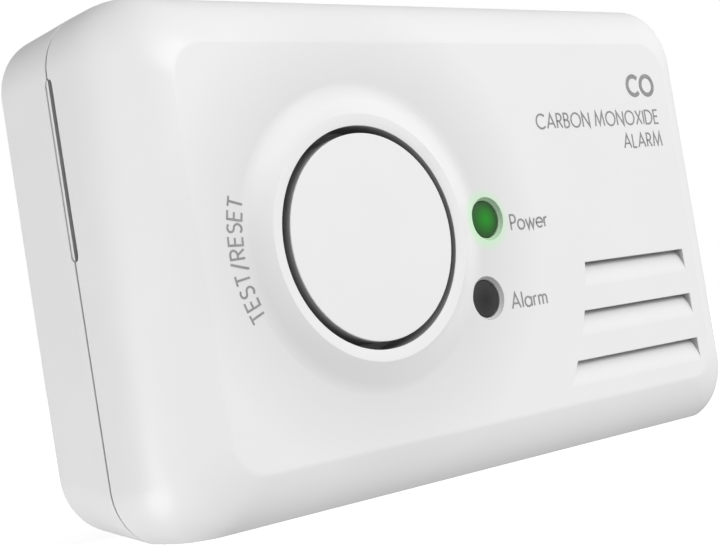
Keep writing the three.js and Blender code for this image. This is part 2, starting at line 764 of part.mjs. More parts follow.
// A coil that carries the drive from the board to the ceramic or the disc.
function sounderContact() {
  const wire = 0.25;
  const front = FACE_Y + WALL + 3.7 + wire;
  return coil(new Helix(1.3, 1.3, front, BOARD_FRONT - 0.1 - wire, 3), wire);
}

// ---------------------------------------------------------------- batteries and their contacts

// A cell along Z with its middle at the origin, and its positive end at the top.
function cell() {
  const half = CELL_LENGTH / 2;
  const shoulderTop = half - 1.3;
  const profile = [
    [0, -half],
    [CELL_RADIUS - 0.5, -half],
    [CELL_RADIUS, 0.5 - half],
    [CELL_RADIUS, shoulderTop - 0.5],
    [CELL_RADIUS - 0.5, shoulderTop],
    [2.7, shoulderTop],
    [2.7, half],
    [0, half],
  ];
  return turned(profile, 0, 0, 32);
}

const CONTACT_THICK = 0.5;
const CONTACT_INSIDE = BAY_HALF - 0.1 - CONTACT_THICK;
const NUB_AT = CONTACT_INSIDE - 0.15; // where a cell's positive end lies

// One leaf with a solder tab that goes through the bay's front wall and the board.
function terminal() {
  const leaf = block([CONTACT_INSIDE, BAY_FRONT + 0.2, -5.5], [BAY_HALF - 0.1, 12.6, 5.5]);
  return leaf.add(block([CONTACT_INSIDE, BOARD_FRONT - 1, -1.5], [BAY_HALF - 0.1, 0, 1.5]));
}

function contactBridge() {
  const [low, high] = [CELL_LOWER_Z - 5.5, CELL_UPPER_Z + 5.5];
  const leaf = block([0.1 - BAY_HALF, BAY_FRONT + 0.2, low], [-CONTACT_INSIDE, 12.6, high]);
  const notch = block(
    [-BAY_HALF - 1, 9, (CELL_LOWER_Z + CELL_UPPER_Z) / 2 - 2],
    [-CONTACT_INSIDE + 1, 14, (CELL_LOWER_Z + CELL_UPPER_Z) / 2 + 2],
  );
  return leaf.subtract(notch);
}

// A cone of wire between a leaf and a cell's negative end. Its axis is Y, wide end first.
function cellSpring() {
  const wire = 0.4;
  const room = CONTACT_INSIDE + NUB_AT - CELL_LENGTH;
  return coil(new Helix(4.6, 2.6, wire + 0.1, room - wire - 0.1, 3.5), wire);
}

// ---------------------------------------------------------------- fasteners and label

// A pan-head screw pointing along -Y, with the underside of its head at the origin.
function screw(headRadius, headHeight, shankRadius, length) {
  const profile = [
    [0, -length],
    [shankRadius * 0.3, -length],
    [shankRadius, shankRadius * 1.2 - length],
    [shankRadius, 0],
    [headRadius, 0],
    [headRadius, headHeight * 0.6],
    [headRadius * 0.7, headHeight],
    [0, headHeight],
  ];
  const [half, deep] = [headRadius * 0.6, headHeight * 0.5];
  const bar = block([-half, headHeight - deep, -0.3], [half, headHeight + 1, 0.3]);
  const cross = block([-0.3, headHeight - deep, -half], [0.3, headHeight + 1, half]);
  return turned(profile, 0, 0, 12).subtract(bar.add(cross));
}

function label() {
  const half = LABEL_HALF - PLAY;
  return block([-half, BACK_Y - 0.3, LABEL_LOW + PLAY], [half, BACK_Y - 0.1, LABEL_HIGH - PLAY]);
}

// ---------------------------------------------------------------- the assembly

const COLOURS = {
  casePlastic: [0xf1f1f0, 0.42, 0],
  buttonPlastic: [0xf3f3f2, 0.38, 0],
  greenLens: [0x35a84a, 0.2, 0],
  darkLens: [0x3a3d3b, 0.2, 0],
  board: [0x2f6a3d, 0.5, 0],
  blackPlastic: [0x1f1f21, 0.5, 0],
  steel: [0xb9bcc0, 0.35, 1],
  brass: [0xc9a75a, 0.35, 1],
  ceramic: [0xe7e2d4, 0.6, 0],
  greyPlastic: [0x6d6f72, 0.55, 0],
  ferrite: [0x3b3a3c, 0.7, 0],
  cellJacket: [0x35516e, 0.35, 0],
  paper: [0xdfe0e0, 0.7, 0],
};

// A named mesh in one of the colours, at a place in the case.
function piece(name, shape, colour, position = [0, 0, 0]) {
  const [color, roughness, metalness] = COLOURS[colour];
  const material = new THREE.MeshStandardMaterial({ color, roughness, metalness });
  const mesh = new THREE.Mesh(geometryOf(shape), material);
  mesh.name = name;
  mesh.position.set(...position);
  return mesh;
}

function group(x, z, ...meshes) {
  const made = new THREE.Group();
  made.position.set(x, 0, z);
  made.add(...meshes);
  return made;
}

// A cell laid along X at one height, positive end towards side, with the spring at its other end.
function cellWithSpring(name, z, side) {
  const laid = new THREE.Group();
  laid.position.set(0, CELL_Y, z);
  const body = piece(`battery_${name}`, cell(), "cellJacket");
  body.rotation.z = (-side * Math.PI) / 2;
  body.position.x = side * (NUB_AT - CELL_LENGTH / 2);
  const spring = piece(`battery_spring_${name}`, cellSpring(), "steel");
  spring.rotation.z = (-side * Math.PI) / 2;
  spring.position.x = -side * CONTACT_INSIDE;
  laid.add(body, spring);
  return laid;
}

const detector = new THREE.Group();
detector.add(
  piece("front_cover", frontCover(), "casePlastic"),
  piece("rear_housing", rearHousing(), "casePlastic"),
  piece("battery_door", batteryDoor(), "casePlastic"),
  piece("rating_label", label(), "paper"),
  group(
    BUTTON_X,
    BUTTON_Z,
    piece("test_button", testButton(), "buttonPlastic"),
    piece("button_spring", buttonSpring(), "steel"),
    piece("switch_body", switchBody(), "blackPlastic"),
    piece("switch_plunger", switchPlunger(), "greyPlastic"),
  ),
  piece("main_board", mainBoard(), "board"),
  piece("power_lamp", lamp(), "greenLens", [LAMP_SPOTS[0][0], 0, LAMP_SPOTS[0][1]]),
  piece("alarm_lamp", lamp(), "darkLens", [LAMP_SPOTS[1][0], 0, LAMP_SPOTS[1][1]]),
  piece("microcontroller", microcontroller(), "blackPlastic", [-12, 0, 52]),
  piece("inductor", inductor(), "ferrite", [3, 0, 44]),
  piece("capacitor_1", capacitor(), "blackPlastic", [-27, 0, 56]),
  piece("capacitor_2", capacitor(), "blackPlastic", [-27, 0, 47]),
  group(
    SENSOR_X,
    SENSOR_Z,
    piece("sensor_can", sensorCan(), "steel"),
    piece("sensor_cap", sensorCap(), "greyPlastic"),
  ),
  group(
    SOUNDER_X,
    SOUNDER_Z,
    piece("sounder_disc", sounderDisc(), "brass"),
    piece("sounder_ceramic", sounderCeramic(), "ceramic"),
    piece("sounder_holder", sounderHolder(), "greyPlastic"),
    piece("sounder_contact_1", sounderContact(), "steel", [-2.5, 0, 0]),
    piece("sounder_contact_2", sounderContact(), "steel", [2.5, 0, 0]),
  ),
  cellWithSpring("upper", CELL_UPPER_Z, 1),
  cellWithSpring("lower", CELL_LOWER_Z, -1),
  piece("contact_bridge", contactBridge(), "steel"),
  piece("positive_terminal", terminal(), "steel", [0, 0, CELL_UPPER_Z]),
  piece("negative_terminal", terminal(), "steel", [0, 0, CELL_LOWER_Z]),
);

CASE_SCREWS.forEach(([x, z], i) => {
  detector.add(piece(`case_screw_${i + 1}`, screw(2.8, 1.8, 1.4, 9), "steel", [x, 4.7, z]));
});

BOARD_SCREWS.forEach(([x, z], i) => {
  const fastener = piece(`board_screw_${i + 1}`, screw(2.5, 1.6, 1.1, 6), "steel");
  fastener.position.set(x, BOARD_FRONT - 0.1, z);
  fastener.rotation.x = Math.PI;
  detector.add(fastener);
});

export default detector;
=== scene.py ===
"""The looks of a battery powered carbon monoxide detector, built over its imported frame.

Shapes are worked out in millimetres, in the frame's own axes: the face looks along -Y,
+X is to its right and +Z is up. They become metres when a piece is made."""

import json
import math

import bpy
from mathutils import Matrix, Vector


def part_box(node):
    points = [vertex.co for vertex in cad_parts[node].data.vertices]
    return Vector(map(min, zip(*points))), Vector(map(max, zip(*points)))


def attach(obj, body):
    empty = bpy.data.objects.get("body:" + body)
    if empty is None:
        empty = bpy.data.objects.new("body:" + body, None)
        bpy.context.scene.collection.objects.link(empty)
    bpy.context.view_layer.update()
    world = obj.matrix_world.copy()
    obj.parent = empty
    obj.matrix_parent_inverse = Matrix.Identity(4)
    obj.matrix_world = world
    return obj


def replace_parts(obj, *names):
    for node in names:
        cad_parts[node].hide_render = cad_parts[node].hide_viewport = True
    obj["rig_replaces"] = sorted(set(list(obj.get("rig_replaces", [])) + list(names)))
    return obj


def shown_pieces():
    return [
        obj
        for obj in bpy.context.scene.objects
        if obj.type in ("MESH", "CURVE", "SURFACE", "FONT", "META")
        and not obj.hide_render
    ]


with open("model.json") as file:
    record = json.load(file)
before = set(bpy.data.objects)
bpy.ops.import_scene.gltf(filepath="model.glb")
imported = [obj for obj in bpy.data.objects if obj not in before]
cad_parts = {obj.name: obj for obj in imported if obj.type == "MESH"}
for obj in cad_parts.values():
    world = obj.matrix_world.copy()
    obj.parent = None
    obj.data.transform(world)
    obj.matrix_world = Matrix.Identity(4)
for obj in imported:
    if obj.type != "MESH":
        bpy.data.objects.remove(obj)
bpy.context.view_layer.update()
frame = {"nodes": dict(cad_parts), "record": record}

# ---------------------------------------------------------------- sizes read from the frame

MM = 0.001


def span(node):
    """The lowest and highest corners of a frame node."""
    low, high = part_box(node)
    return low / MM, high / MM


def middle(node):
    low, high = span(node)
    return (low + high) / 2


COVER_LOW, COVER_HIGH = span("front_cover")
HALF_WIDTH = COVER_HIGH.x
HEIGHT = COVER_HIGH.z
RIM_Y = COVER_LOW.y
SEAM_Y = COVER_HIGH.y
BACK_Y = span("rear_housing")[1].y
BUTTON = middle("test_button")
BUTTON_FACE = span("test_button")[0].y
CAP_RADIUS = (span("test_button")[1].x - span("test_button")[0].x) / 2
DOOR_HIGH = span("battery_door")[1]
LABEL_LOW, LABEL_HIGH = span("rating_label")
BOARD_LOW, BOARD_HIGH = span("main_board")
LAMPS = [middle("power_lamp"), middle("alarm_lamp")]
CASE_SCREWS = [middle(f"case_screw_{number}") for number in range(1, 5)]
BOARD_SCREWS = [middle(f"board_screw_{number}") for number in range(1, 5)]

# ---------------------------------------------------------------- shape of the case

WALL = 2
PLAY = 0.3  # gap between two mouldings that meet
RIM_PROUD = 1.6  # how far the rim round the button stands out of the face
FACE_Y = RIM_Y + RIM_PROUD
FACE_INSIDE = FACE_Y + WALL
COVER_DEPTH = SEAM_Y - FACE_Y
BAND = 2.5  # the straight part of the cover's sides, next to the seam
SHOULDER_SIDE = 9
SHOULDER_END = 8.07
SHOULDER_POWER = 3.2
SHOULDER_TURN = 58  # degrees of the curve before the crease at the face
CORNER_SEAM = 8.6
CORNER_FACE = 4.8
CORNER_BACK = 8.8
DRAFT_SIDE = 0.3
DRAFT_TOP = 0.1
DRAFT_BOTTOM = 2.1
BACK_EDGE = 1.5
BACK_INSIDE = BACK_Y - WALL
SEAM_EDGE = 0.22  # rounding of the two edges that meet at the seam

WELL_RADIUS = 15.27
WELL_FLOOR = -9.9
WELL_FLOOR_THICK = 1.2
RIM_RADIUS = 16.9
RIM_DISH = 0.3  # how far the rim falls from its crest to the well
MOUND_RADIUS = 21.3
MOUND_POWER = 1.7  # above 1 the mound's foot is tangent to the face

LAMP_HOLE_RADIUS = 3.15
LAMP_RADIUS = 2.65
LAMP_CROWN = 0.3
LAMP_BORE = 2.8  # radius of a lamp hole below its cone
LAMP_CONE = 0.6  # depth of the cone at its mouth
LEAD_SPACING = 2.54
SHROUD_RADIUS = LAMP_HOLE_RADIUS + 1
SHROUD_BACK = FACE_INSIDE + 4.6

LOUVRE_RIGHT = 45.93
LOUVRE_ARC = 43.86
LOUVRE_TOP = 28.8
LOUVRE_PITCH = 7.36
LOUVRE_HEIGHT = 3.9
LOUVRE_DEPTH = 1.6
LOUVRE_COUNT = 3
LOUVRE_POWER = 1.8  # above 1 the scoop's floor leaves the face gently and steepens

VENT_BOTTOM = 38.3
VENT_LENGTH = 23.7
VENT_OPENING = 0.75
VENT_MARGIN_FRONT = 0.2
VENT_MARGIN_BACK = 0.55
VENT_MARGIN_END = 0.1
VENT_SUNK = 0.22
CHAMBER_WALL = 1.35  # thickness of the face in front of the sounder
SEAT_LEDGE = 0.9  # how far in under its disc the sounder's seat reaches
SEAT_BACK = FACE_INSIDE + 2.8

BOSS_RADIUS = 2.9  # the cover's screw bosses
PILOT_RADIUS = 1.6
PILOT_DEPTH = 8.5
STEM_HOLE_RADIUS = 3.4
COLUMN_RADIUS = 4.3  # the housing's screw columns
SCREW_WELL_RADIUS = 3.1
SCREW_WELL_FLOOR = 4.6
SCREW_HOLE_RADIUS = 1.9
POST_RADIUS = 2.8  # the posts that carry the board
POST_PILOT_RADIUS = 1.3

KEYHOLE_X = 42
KEYHOLE_Z = 45.5
KEYHOLE_RISE = 7
KEYHOLE_HEAD = 4
KEYHOLE_SHANK = 2.2
POCKET_FRONT = 8.8  # of the closed pocket behind a keyhole
POCKET_WALL = 1

BAY_HALF = 28.6
BAY_LOW = 4.6
BAY_HIGH = 34.8
BAY_FRONT = -1.5
BAY_WALL = 1.8
DOOR_PANEL_LOW = BAY_LOW + 0.8
HOOK_X = 18
HOOK_HALF = 3
HOOK_TOP = 7.6
HOOK_FOOT = 3.7
HOOK_FRONT = 12.3
HOOK_BACK = 13.5
NOTCH_RADIUS = 7  # the finger notch above the door
THUMB_RADIUS = 6  # the recess in the door below it
NOTCH_DEPTH = 0.9  # of both
RIB_SPACING = 12
TERMINAL_SLIT_HALF = 1.9

LABEL_RECESS_HALF = 27
LABEL_RECESS_LOW = 44
LABEL_RECESS_HIGH = 63
LABEL_RECESS_DEPTH = 0.35
FOOT_X = 38
FOOT_HALF = 3
FOOT_FRONT = BACK_Y - 4.6
FOOT_BACK = BACK_Y - 2

SIDES = (-1, 1)
CORNER_STEPS = 16
FINE = 128  # sides of the button and of what surrounds it

# ---------------------------------------------------------------- meshes


def new_piece(name, points, faces):
    """An object made of points in millimetres and of faces that look outwards."""
    mesh = bpy.data.meshes.new(name)
    mesh.from_pydata([[value * MM for value in point] for point in points], [], faces)
    mesh.validate()
    made = bpy.data.objects.new(name, mesh)
    bpy.context.scene.collection.objects.link(made)
    return made


def signed_volume(points, faces):
    total = 0
    for face in faces:
        first = Vector(points[face[0]])
        for a, b in zip(face[1:], face[2:]):
            total += first.dot(Vector(points[a]).cross(Vector(points[b])))
    return total


def loft(name, rings, closed=False):
    """A body through rings of equal length, capped at both ends or closed on itself."""
    count = len(rings[0])
    points = [point for ring in rings for point in ring]
    faces = []
    for ring in range(len(rings) if closed else len(rings) - 1):
        here = ring * count
        there = (ring + 1) % len(rings) * count
        for i in range(count):
            j = (i + 1) % count
            faces.append((here + i, here + j, there + j, there + i))
    if not closed:
        last = (len(rings) - 1) * count
        faces.append(tuple(range(count - 1, -1, -1)))
        faces.append(tuple(range(last, last + count)))
    if signed_volume(points, faces) < 0:
        faces = [face[::-1] for face in faces]
    return new_piece(name, points, faces)


def turned(name, profile, centre=(0, 0), sides=FINE, closed=False, along="Y"):
    """A body of revolution through (radius, depth) points about a line along Y or X."""
    rings = []
    for radius, depth in profile:
        ring = []
        for i in range(sides):
            angle = 2 * math.pi * i / sides
            a = centre[0] + radius * math.cos(angle)
            b = centre[1] + radius * math.sin(angle)
            ring.append((a, depth, b) if along == "Y" else (depth, a, b))
        rings.append(ring)
    return loft(name, rings, closed)


def round_bar(name, radius, front, back, spot, sides=48):
    return turned(name, [(radius, front), (radius, back)], (spot.x, spot.z), sides)


def block(name, low, high):
    rings = []
    for y in (low[1], high[1]):
        rings.append([(low[0], y, low[2]), (high[0], y, low[2]), (high[0], y, high[2]), (low[0], y, high[2])])
    return loft(name, rings)


def discard(made):
    mesh = made.data
    bpy.data.objects.remove(made)
    bpy.data.meshes.remove(mesh)


def combine(target, others, operation="DIFFERENCE"):
    """Cuts the others out of the target, joins them to it or keeps what they share."""
    for other in others:
        modifier = target.modifiers.new("combine", "BOOLEAN")
        modifier.operation = operation
        modifier.solver = "MANIFOLD"
        modifier.object = other
    graph = bpy.context.evaluated_depsgraph_get()
    mesh = bpy.data.meshes.new_from_object(target.evaluated_get(graph))
    target.modifiers.clear()
    old = target.data
    target.data = mesh
    bpy.data.meshes.remove(old)
    for other in others:
        discard(other)
    return target


def smooth(made, angle=30):
    """Smooth shading that keeps flat faces flat and edges sharper than the angle crisp."""
    mesh = made.data
    mesh.polygons.foreach_set("use_smooth", [True] * len(mesh.polygons))
    mesh.set_sharp_from_angle(angle=math.radians(angle))
    modifier = made.modifiers.new("normals", "WEIGHTED_NORMAL")
    modifier.keep_sharp = True
    return made


def bevelled(made, width):
    modifier = made.modifiers.new("bevel", "BEVEL")
    modifier.width = width * MM
    modifier.segments = 2
    modifier.limit_method = "ANGLE"
    modifier.angle_limit = math.radians(40)
    modifier.use_clamp_overlap = True
    return made


def mouth(rounding, steps=5):
    """The rounded mouth of a hole, as (how much wider, how far from the surface) pairs.
    It starts just outside the surface, so that it crosses it cleanly."""
    pairs = [(rounding, -2), (rounding, -0.004)]
    for i in range(1, steps + 1):
        angle = i / steps * math.pi / 2
        pairs.append((rounding * (1 - math.sin(angle)), rounding * (1 - math.cos(angle))))
    return pairs


def round_hole(name, radius, surface, floor, x, z, rounding=0.25, sides=48):
    """A cutter for a round hole from a surface to its floor, with a rounded mouth."""
    inward = 1 if floor > surface else -1
    profile = [(radius + wider, surface + inward * depth) for wider, depth in mouth(rounding)]
    profile.append((radius, floor))
    return turned(name, profile, (x, z), sides)


# ---------------------------------------------------------------- outlines


def lerp(a, b, share):
    return a + (b - a) * share


def rounded_ring(half, z_low, z_high, radius, y, steps=CORNER_STEPS):
    """A rounded rectangle of points at one depth."""
    corners = (
        (half - radius, z_high - radius),
        (radius - half, z_high - radius),
        (radius - half, z_low + radius),
        (half - radius, z_low + radius),
    )
    ring = []
    for quarter, (x, z) in enumerate(corners):
        for i in range(steps + 1):
            angle = (quarter + i / steps) * math.pi / 2
            ring.append((x + radius * math.cos(angle), y, z + radius * math.sin(angle)))
    return ring


def shoulder(t):
    """How far in the shoulder has come and its depth, from the band (0) to the face (1)."""
    last = math.radians(SHOULDER_TURN)

    def across(angle):
        return 1 - math.cos(angle) ** (2 / SHOULDER_POWER)

    def forward(angle):
        return math.sin(angle) ** (2 / SHOULDER_POWER)

    share = across(t * last) / across(last)
    return share, FACE_Y + (COVER_DEPTH - BAND) * (1 - forward(t * last) / forward(last))


def shoulder_ring(t, inset=0):
    """The cover's outline at share t of the shoulder, moved in by a wall's thickness."""
    step = 0.01
    share_before, y_before = shoulder(max(t - step, 0))
    share_after, y_after = shoulder(min(t + step, 1))
    across = (share_after - share_before) * SHOULDER_SIDE
    along = y_before - y_after
    length = math.hypot(across, along)
    share, y = shoulder(t)
    sideways = inset * along / length
    return rounded_ring(
        HALF_WIDTH - SHOULDER_SIDE * share - sideways,
        SHOULDER_END * share + sideways,
        HEIGHT - SHOULDER_END * share - sideways,
        lerp(CORNER_SEAM, CORNER_FACE, share) - inset,
        y + inset * across / length,
    )


def housing_ring(y, inset=0):
    """The case's outline behind the shoulders, where the housing's walls draw in."""
    drawn = min(max((y - SEAM_Y) / (BACK_Y - SEAM_Y), 0), 1)
    return rounded_ring(
        HALF_WIDTH - DRAFT_SIDE * drawn - inset,
        DRAFT_BOTTOM * drawn + inset,
        HEIGHT - DRAFT_TOP * drawn - inset,
        lerp(CORNER_SEAM, CORNER_BACK, drawn) - inset,
        y,
    )


def quarter_turn(steps):
    """Sine and cosine pairs over a quarter of a circle."""
    return [(math.sin(i / steps * math.pi / 2), math.cos(i / steps * math.pi / 2)) for i in range(steps + 1)]


def shoulder_rings(inset):
    steps = 30
    return [shoulder_ring(1 - i / steps, inset) for i in range(steps + 1)]


# ---------------------------------------------------------------- front cover


def ground(radius):
    """The depth of the face at a distance from the button's middle, where it rises to the rim."""
    share = min(max((MOUND_RADIUS - radius) / (MOUND_RADIUS - RIM_RADIUS), 0), 1)
    return FACE_Y - RIM_PROUD * share**MOUND_POWER


def mound():
    """The concave slope that rises from the face to the crest of the rim."""
    steps = 28
    profile = [(MOUND_RADIUS, FACE_Y + 1), (MOUND_RADIUS, FACE_Y + 0.006)]
    for i in range(1, steps + 1):
        radius = lerp(MOUND_RADIUS, RIM_RADIUS, i / steps)
        profile.append((radius, ground(radius)))
    return turned("mound", profile, (BUTTON.x, BUTTON.z))


def louvre_profile(top, offset=0):
    """The scoop's floor from the face up to its top edge, as (y, z) points."""
    steps = 14
    low = top - LOUVRE_HEIGHT
    points = []
    for i in range(steps + 1):
        share = i / steps
        depth = LOUVRE_DEPTH * share**LOUVRE_POWER
        points.append((FACE_Y - 0.01 + offset + depth, lerp(low, top, share)))
    return points


def louvre_cutter(index):
    """The air that a louvre takes out of the face: an upright outline with a rounded mouth,
    as deep as the scoop's sloping floor. Its left end lies on an arc round the button."""
    top = LOUVRE_TOP - index * LOUVRE_PITCH
    low = top - LOUVRE_HEIGHT
    rings = []
    for wider, depth in [*mouth(0.16), (0, LOUVRE_DEPTH + 1)]:
        ring = []
        arc_steps = 6
        for i in range(arc_steps + 1):
            z = lerp(low, top + wider, i / arc_steps)
            x = BUTTON.x + math.sqrt((LOUVRE_ARC - wider) ** 2 - (z - BUTTON.z) ** 2)
            ring.append((x, FACE_Y + depth, z))
        ring.append((LOUVRE_RIGHT + wider, FACE_Y + depth, top + wider))
        ring.append((LOUVRE_RIGHT + wider, FACE_Y + depth, low))
        rings.append(ring)
    cutter = loft("louvre", rings)
    floor = louvre_profile(top)
    above = top + 0.4
    deep = FACE_Y + 9
    slope_end = (floor[-1][0] + 0.6, above)
    outline = [*floor, slope_end, (deep, above), (deep, low - 1), (FACE_Y - 0.01, low - 1)]
    keep_out = loft("louvre_ground", [[(x, y, z) for y, z in outline] for x in (0, HALF_WIDTH)])
    return combine(cutter, [keep_out])


def louvre_plate(index):
    """The sloping plate behind a louvre, whose front is the scoop's floor."""
    top = LOUVRE_TOP - index * LOUVRE_PITCH
    low = top - LOUVRE_HEIGHT
    middle_z = low + LOUVRE_HEIGHT / 2 - BUTTON.z
    overlap = 0.5  # into the face on either side
    left = BUTTON.x + math.sqrt(LOUVRE_ARC**2 - middle_z**2) - overlap
    front = louvre_profile(top, 0.01)[1:]
    end = front[-1]
    back = [
        (end[0] + 0.3, top + 0.4),
        (end[0] + 1.3, top + 0.4),
        (FACE_Y + WALL + 0.6, low),
        (FACE_Y + CHAMBER_WALL / 2, low - 0.3),
        (FACE_Y + 0.3, low),
    ]
    outline = [*front, *back]
    return loft("louvre_plate", [[(x, y, z) for y, z in outline] for x in (left, LOUVRE_RIGHT + overlap)])


def vent_cutter(side, front, back):
    near = side * (HALF_WIDTH - 5)
    far = side * (HALF_WIDTH + 1)
    low = (min(near, far), front, VENT_BOTTOM)
    return block("vent", low, (max(near, far), back, VENT_BOTTOM + VENT_LENGTH))


def vent_recess(side):
    """The shallow pill-shaped recess round a side vent, with a rounded mouth."""
    front = SEAM_Y - VENT_OPENING - VENT_MARGIN_FRONT
    back = SEAM_Y + PLAY + VENT_MARGIN_BACK
    radius = (back - front) / 2
    low = VENT_BOTTOM - VENT_MARGIN_END
    high = VENT_BOTTOM + VENT_LENGTH + VENT_MARGIN_END
    rings = []
    for wider, depth in [*mouth(0.08, 3), (0, VENT_SUNK)]:
        ring = rounded_ring(radius + wider, low - wider, high + wider, radius + wider, 0, steps=10)
        x = side * (HALF_WIDTH - depth)
        rings.append([(x, (front + back) / 2 + across, z) for across, _, z in ring])
    return loft("vent_recess", rings)


def well_hole():
    """A cutter for the button's well and for the rim's dished front."""
    crest = RIM_RADIUS - 0.03
    profile = [(crest, RIM_Y - 1), (crest, RIM_Y - 0.004)]
    profile += [(WELL_RADIUS + wider, RIM_Y + RIM_DISH + depth) for wider, depth in mouth(0.1)[2:]]
    profile.append((WELL_RADIUS, WELL_FLOOR))
    return turned("well_hole", profile, (BUTTON.x, BUTTON.z))


def lamp_hole(spot):
    """A cutter for a lamp's hole, which narrows in a cone from a softened mouth to the lens."""
    profile = [(LAMP_HOLE_RADIUS + wider, FACE_Y + depth) for wider, depth in mouth(0.1)]
    profile.append((LAMP_BORE, FACE_Y + LAMP_CONE))
    profile.append((LAMP_BORE, FACE_Y + WALL + 6))
    return turned("lamp_hole", profile, (spot.x, spot.z), 64)


def sounder_seat(disc, inside, outside):
    """The ring behind the face that the sounder's disc rests on."""
    front = FACE_INSIDE - 0.5
    profile = [(outside, front), (outside, SEAT_BACK), (inside, SEAT_BACK), (inside, front)]
    return turned("sounder_seat", profile, (disc.x, disc.z), closed=True)


def front_cover():
    seam = []
    for sine, cosine in quarter_turn(4):
        seam.append(housing_ring(SEAM_Y - SEAM_EDGE * (1 - sine), SEAM_EDGE * (1 - cosine)))
    inner = reversed(shoulder_rings(WALL))
    shell = loft("front_cover_shell", [*shoulder_rings(0), *seam, housing_ring(SEAM_Y, WALL), *inner])

    disc = middle("sounder_disc")
    disc_radius = disc.x - span("sounder_disc")[0].x
    seat_inside = disc_radius - SEAT_LEDGE
    added = [mound()]
    added.append(round_bar("well", RIM_RADIUS, FACE_Y + 0.3, WELL_FLOOR + WELL_FLOOR_THICK, BUTTON, FINE))
    for spot in LAMPS:
        added.append(round_bar("shroud", SHROUD_RADIUS, FACE_Y + 0.5, SHROUD_BACK, spot))
    added.append(sounder_seat(disc, seat_inside, disc_radius + 0.5))
    for spot in CASE_SCREWS:
        added.append(round_bar("boss", BOSS_RADIUS, FACE_Y + 2.6, SEAM_Y - 0.4, spot))
    combine(shell, added, "UNION")

    cuts = [louvre_cutter(i) for i in range(LOUVRE_COUNT)]
    cuts.append(well_hole())
    cuts.append(round_bar("stem_hole", STEM_HOLE_RADIUS, WELL_FLOOR - 1, WELL_FLOOR + 3, BUTTON))
    for spot in LAMPS:
        cuts.append(lamp_hole(spot))
    for spot in CASE_SCREWS:
        cuts.append(round_bar("pilot", PILOT_RADIUS, SEAM_Y - PILOT_DEPTH, SEAM_Y + 1, spot))
    cuts.append(round_bar("chamber", seat_inside, FACE_Y + CHAMBER_WALL, FACE_INSIDE + 4, disc, 96))
    for side in SIDES:
        cuts.append(vent_cutter(side, SEAM_Y - VENT_OPENING, SEAM_Y + 1))
        cuts.append(vent_recess(side))
    combine(shell, cuts)
    return combine(shell, [louvre_plate(i) for i in range(LOUVRE_COUNT)], "UNION")


# ---------------------------------------------------------------- rear housing and battery door


def keyhole_ring(x, y, head, shank):
    """A keyhole's outline: the screw head's hole, and above it the slot for its shank."""
    steps = 20
    lean = math.asin(min(shank / head, 1))
    turn_share = 2 * math.pi - 2 * lean
    ring = []
    for i in range(2 * steps + 1):
        angle = math.pi / 2 + lean + turn_share * i / (2 * steps)
        ring.append((x + head * math.cos(angle), y, KEYHOLE_Z + head * math.sin(angle)))
    for i in range(steps + 1):
        angle = math.pi * i / steps
        ring.append((x + shank * math.cos(angle), y, KEYHOLE_Z + KEYHOLE_RISE + shank * math.sin(angle)))
    return ring


def pocket(x, front, back, wall=0):
    """The space behind a keyhole that the screw head slides in, or that space with its walls."""
    radius = KEYHOLE_HEAD + wall
    return loft("pocket", [keyhole_ring(x, y, radius, radius - 0.1) for y in (front, back)])


def keyhole_cutter(x):
    rings = []
    for wider, depth in mouth(0.25):
        rings.append(keyhole_ring(x, BACK_Y - depth, KEYHOLE_HEAD + wider, KEYHOLE_SHANK + wider))
    rings.append(keyhole_ring(x, BACK_INSIDE - 1, KEYHOLE_HEAD, KEYHOLE_SHANK))
    return loft("keyhole_cutter", rings)


def sunk_rectangle(name, half, low, high, floor, radius):
    """A cutter for a rounded rectangle sunk into the back, with a rounded mouth."""
    rings = []
    for wider, depth in mouth(0.2):
        y = BACK_Y - depth
        rings.append(rounded_ring(half + wider, low - wider, high + wider, radius + wider, y, steps=8))
    rings.append(rounded_ring(half, low, high, radius, floor, steps=8))
    return loft(name, rings)


def housing_shell():
    front = SEAM_Y + PLAY
    rings = []
    for sine, cosine in quarter_turn(10):
        rings.append(housing_ring(BACK_Y - BACK_EDGE * (1 - cosine), BACK_EDGE * (1 - sine)))
    for sine, cosine in quarter_turn(4):
        rings.append(housing_ring(front + SEAM_EDGE * (1 - sine), SEAM_EDGE * (1 - cosine)))
    rings.append(housing_ring(front, WALL))
    chamfer = 0.8
    rings.append(housing_ring(BACK_INSIDE - chamfer, WALL))
    rings.append(housing_ring(BACK_INSIDE, WALL + chamfer))
    return loft("rear_housing_shell", rings)


def seam_lip():
    """The rim that locates the cover: it stands inside the cover's wall, in front of the seam."""
    front = SEAM_Y - 1.6
    back = SEAM_Y + PLAY + 2.4
    inset = WALL + PLAY
    chamfer = 0.3
    inside = inset + 1
    root = WALL - 0.5
    rings = [
        housing_ring(front + chamfer, inset),
        housing_ring(front, inset + chamfer),
        housing_ring(front, inside),
        housing_ring(back, inside),
        housing_ring(back, root),
        housing_ring(SEAM_Y + PLAY, root),
        housing_ring(SEAM_Y + PLAY, inset),
    ]
    return loft("seam_lip", rings, closed=True)


def inside_the_case(extras):
    """Trims what was added inside the housing to the space within its walls."""
    outline = [
        housing_ring(BAY_FRONT - 2, WALL + PLAY),
        housing_ring(SEAM_Y, WALL + PLAY),
        housing_ring(SEAM_Y, 1),
        housing_ring(BACK_Y - 0.5, 1),
    ]
    for extra in extras:
        combine(extra, [loft("envelope", outline)], "INTERSECT")


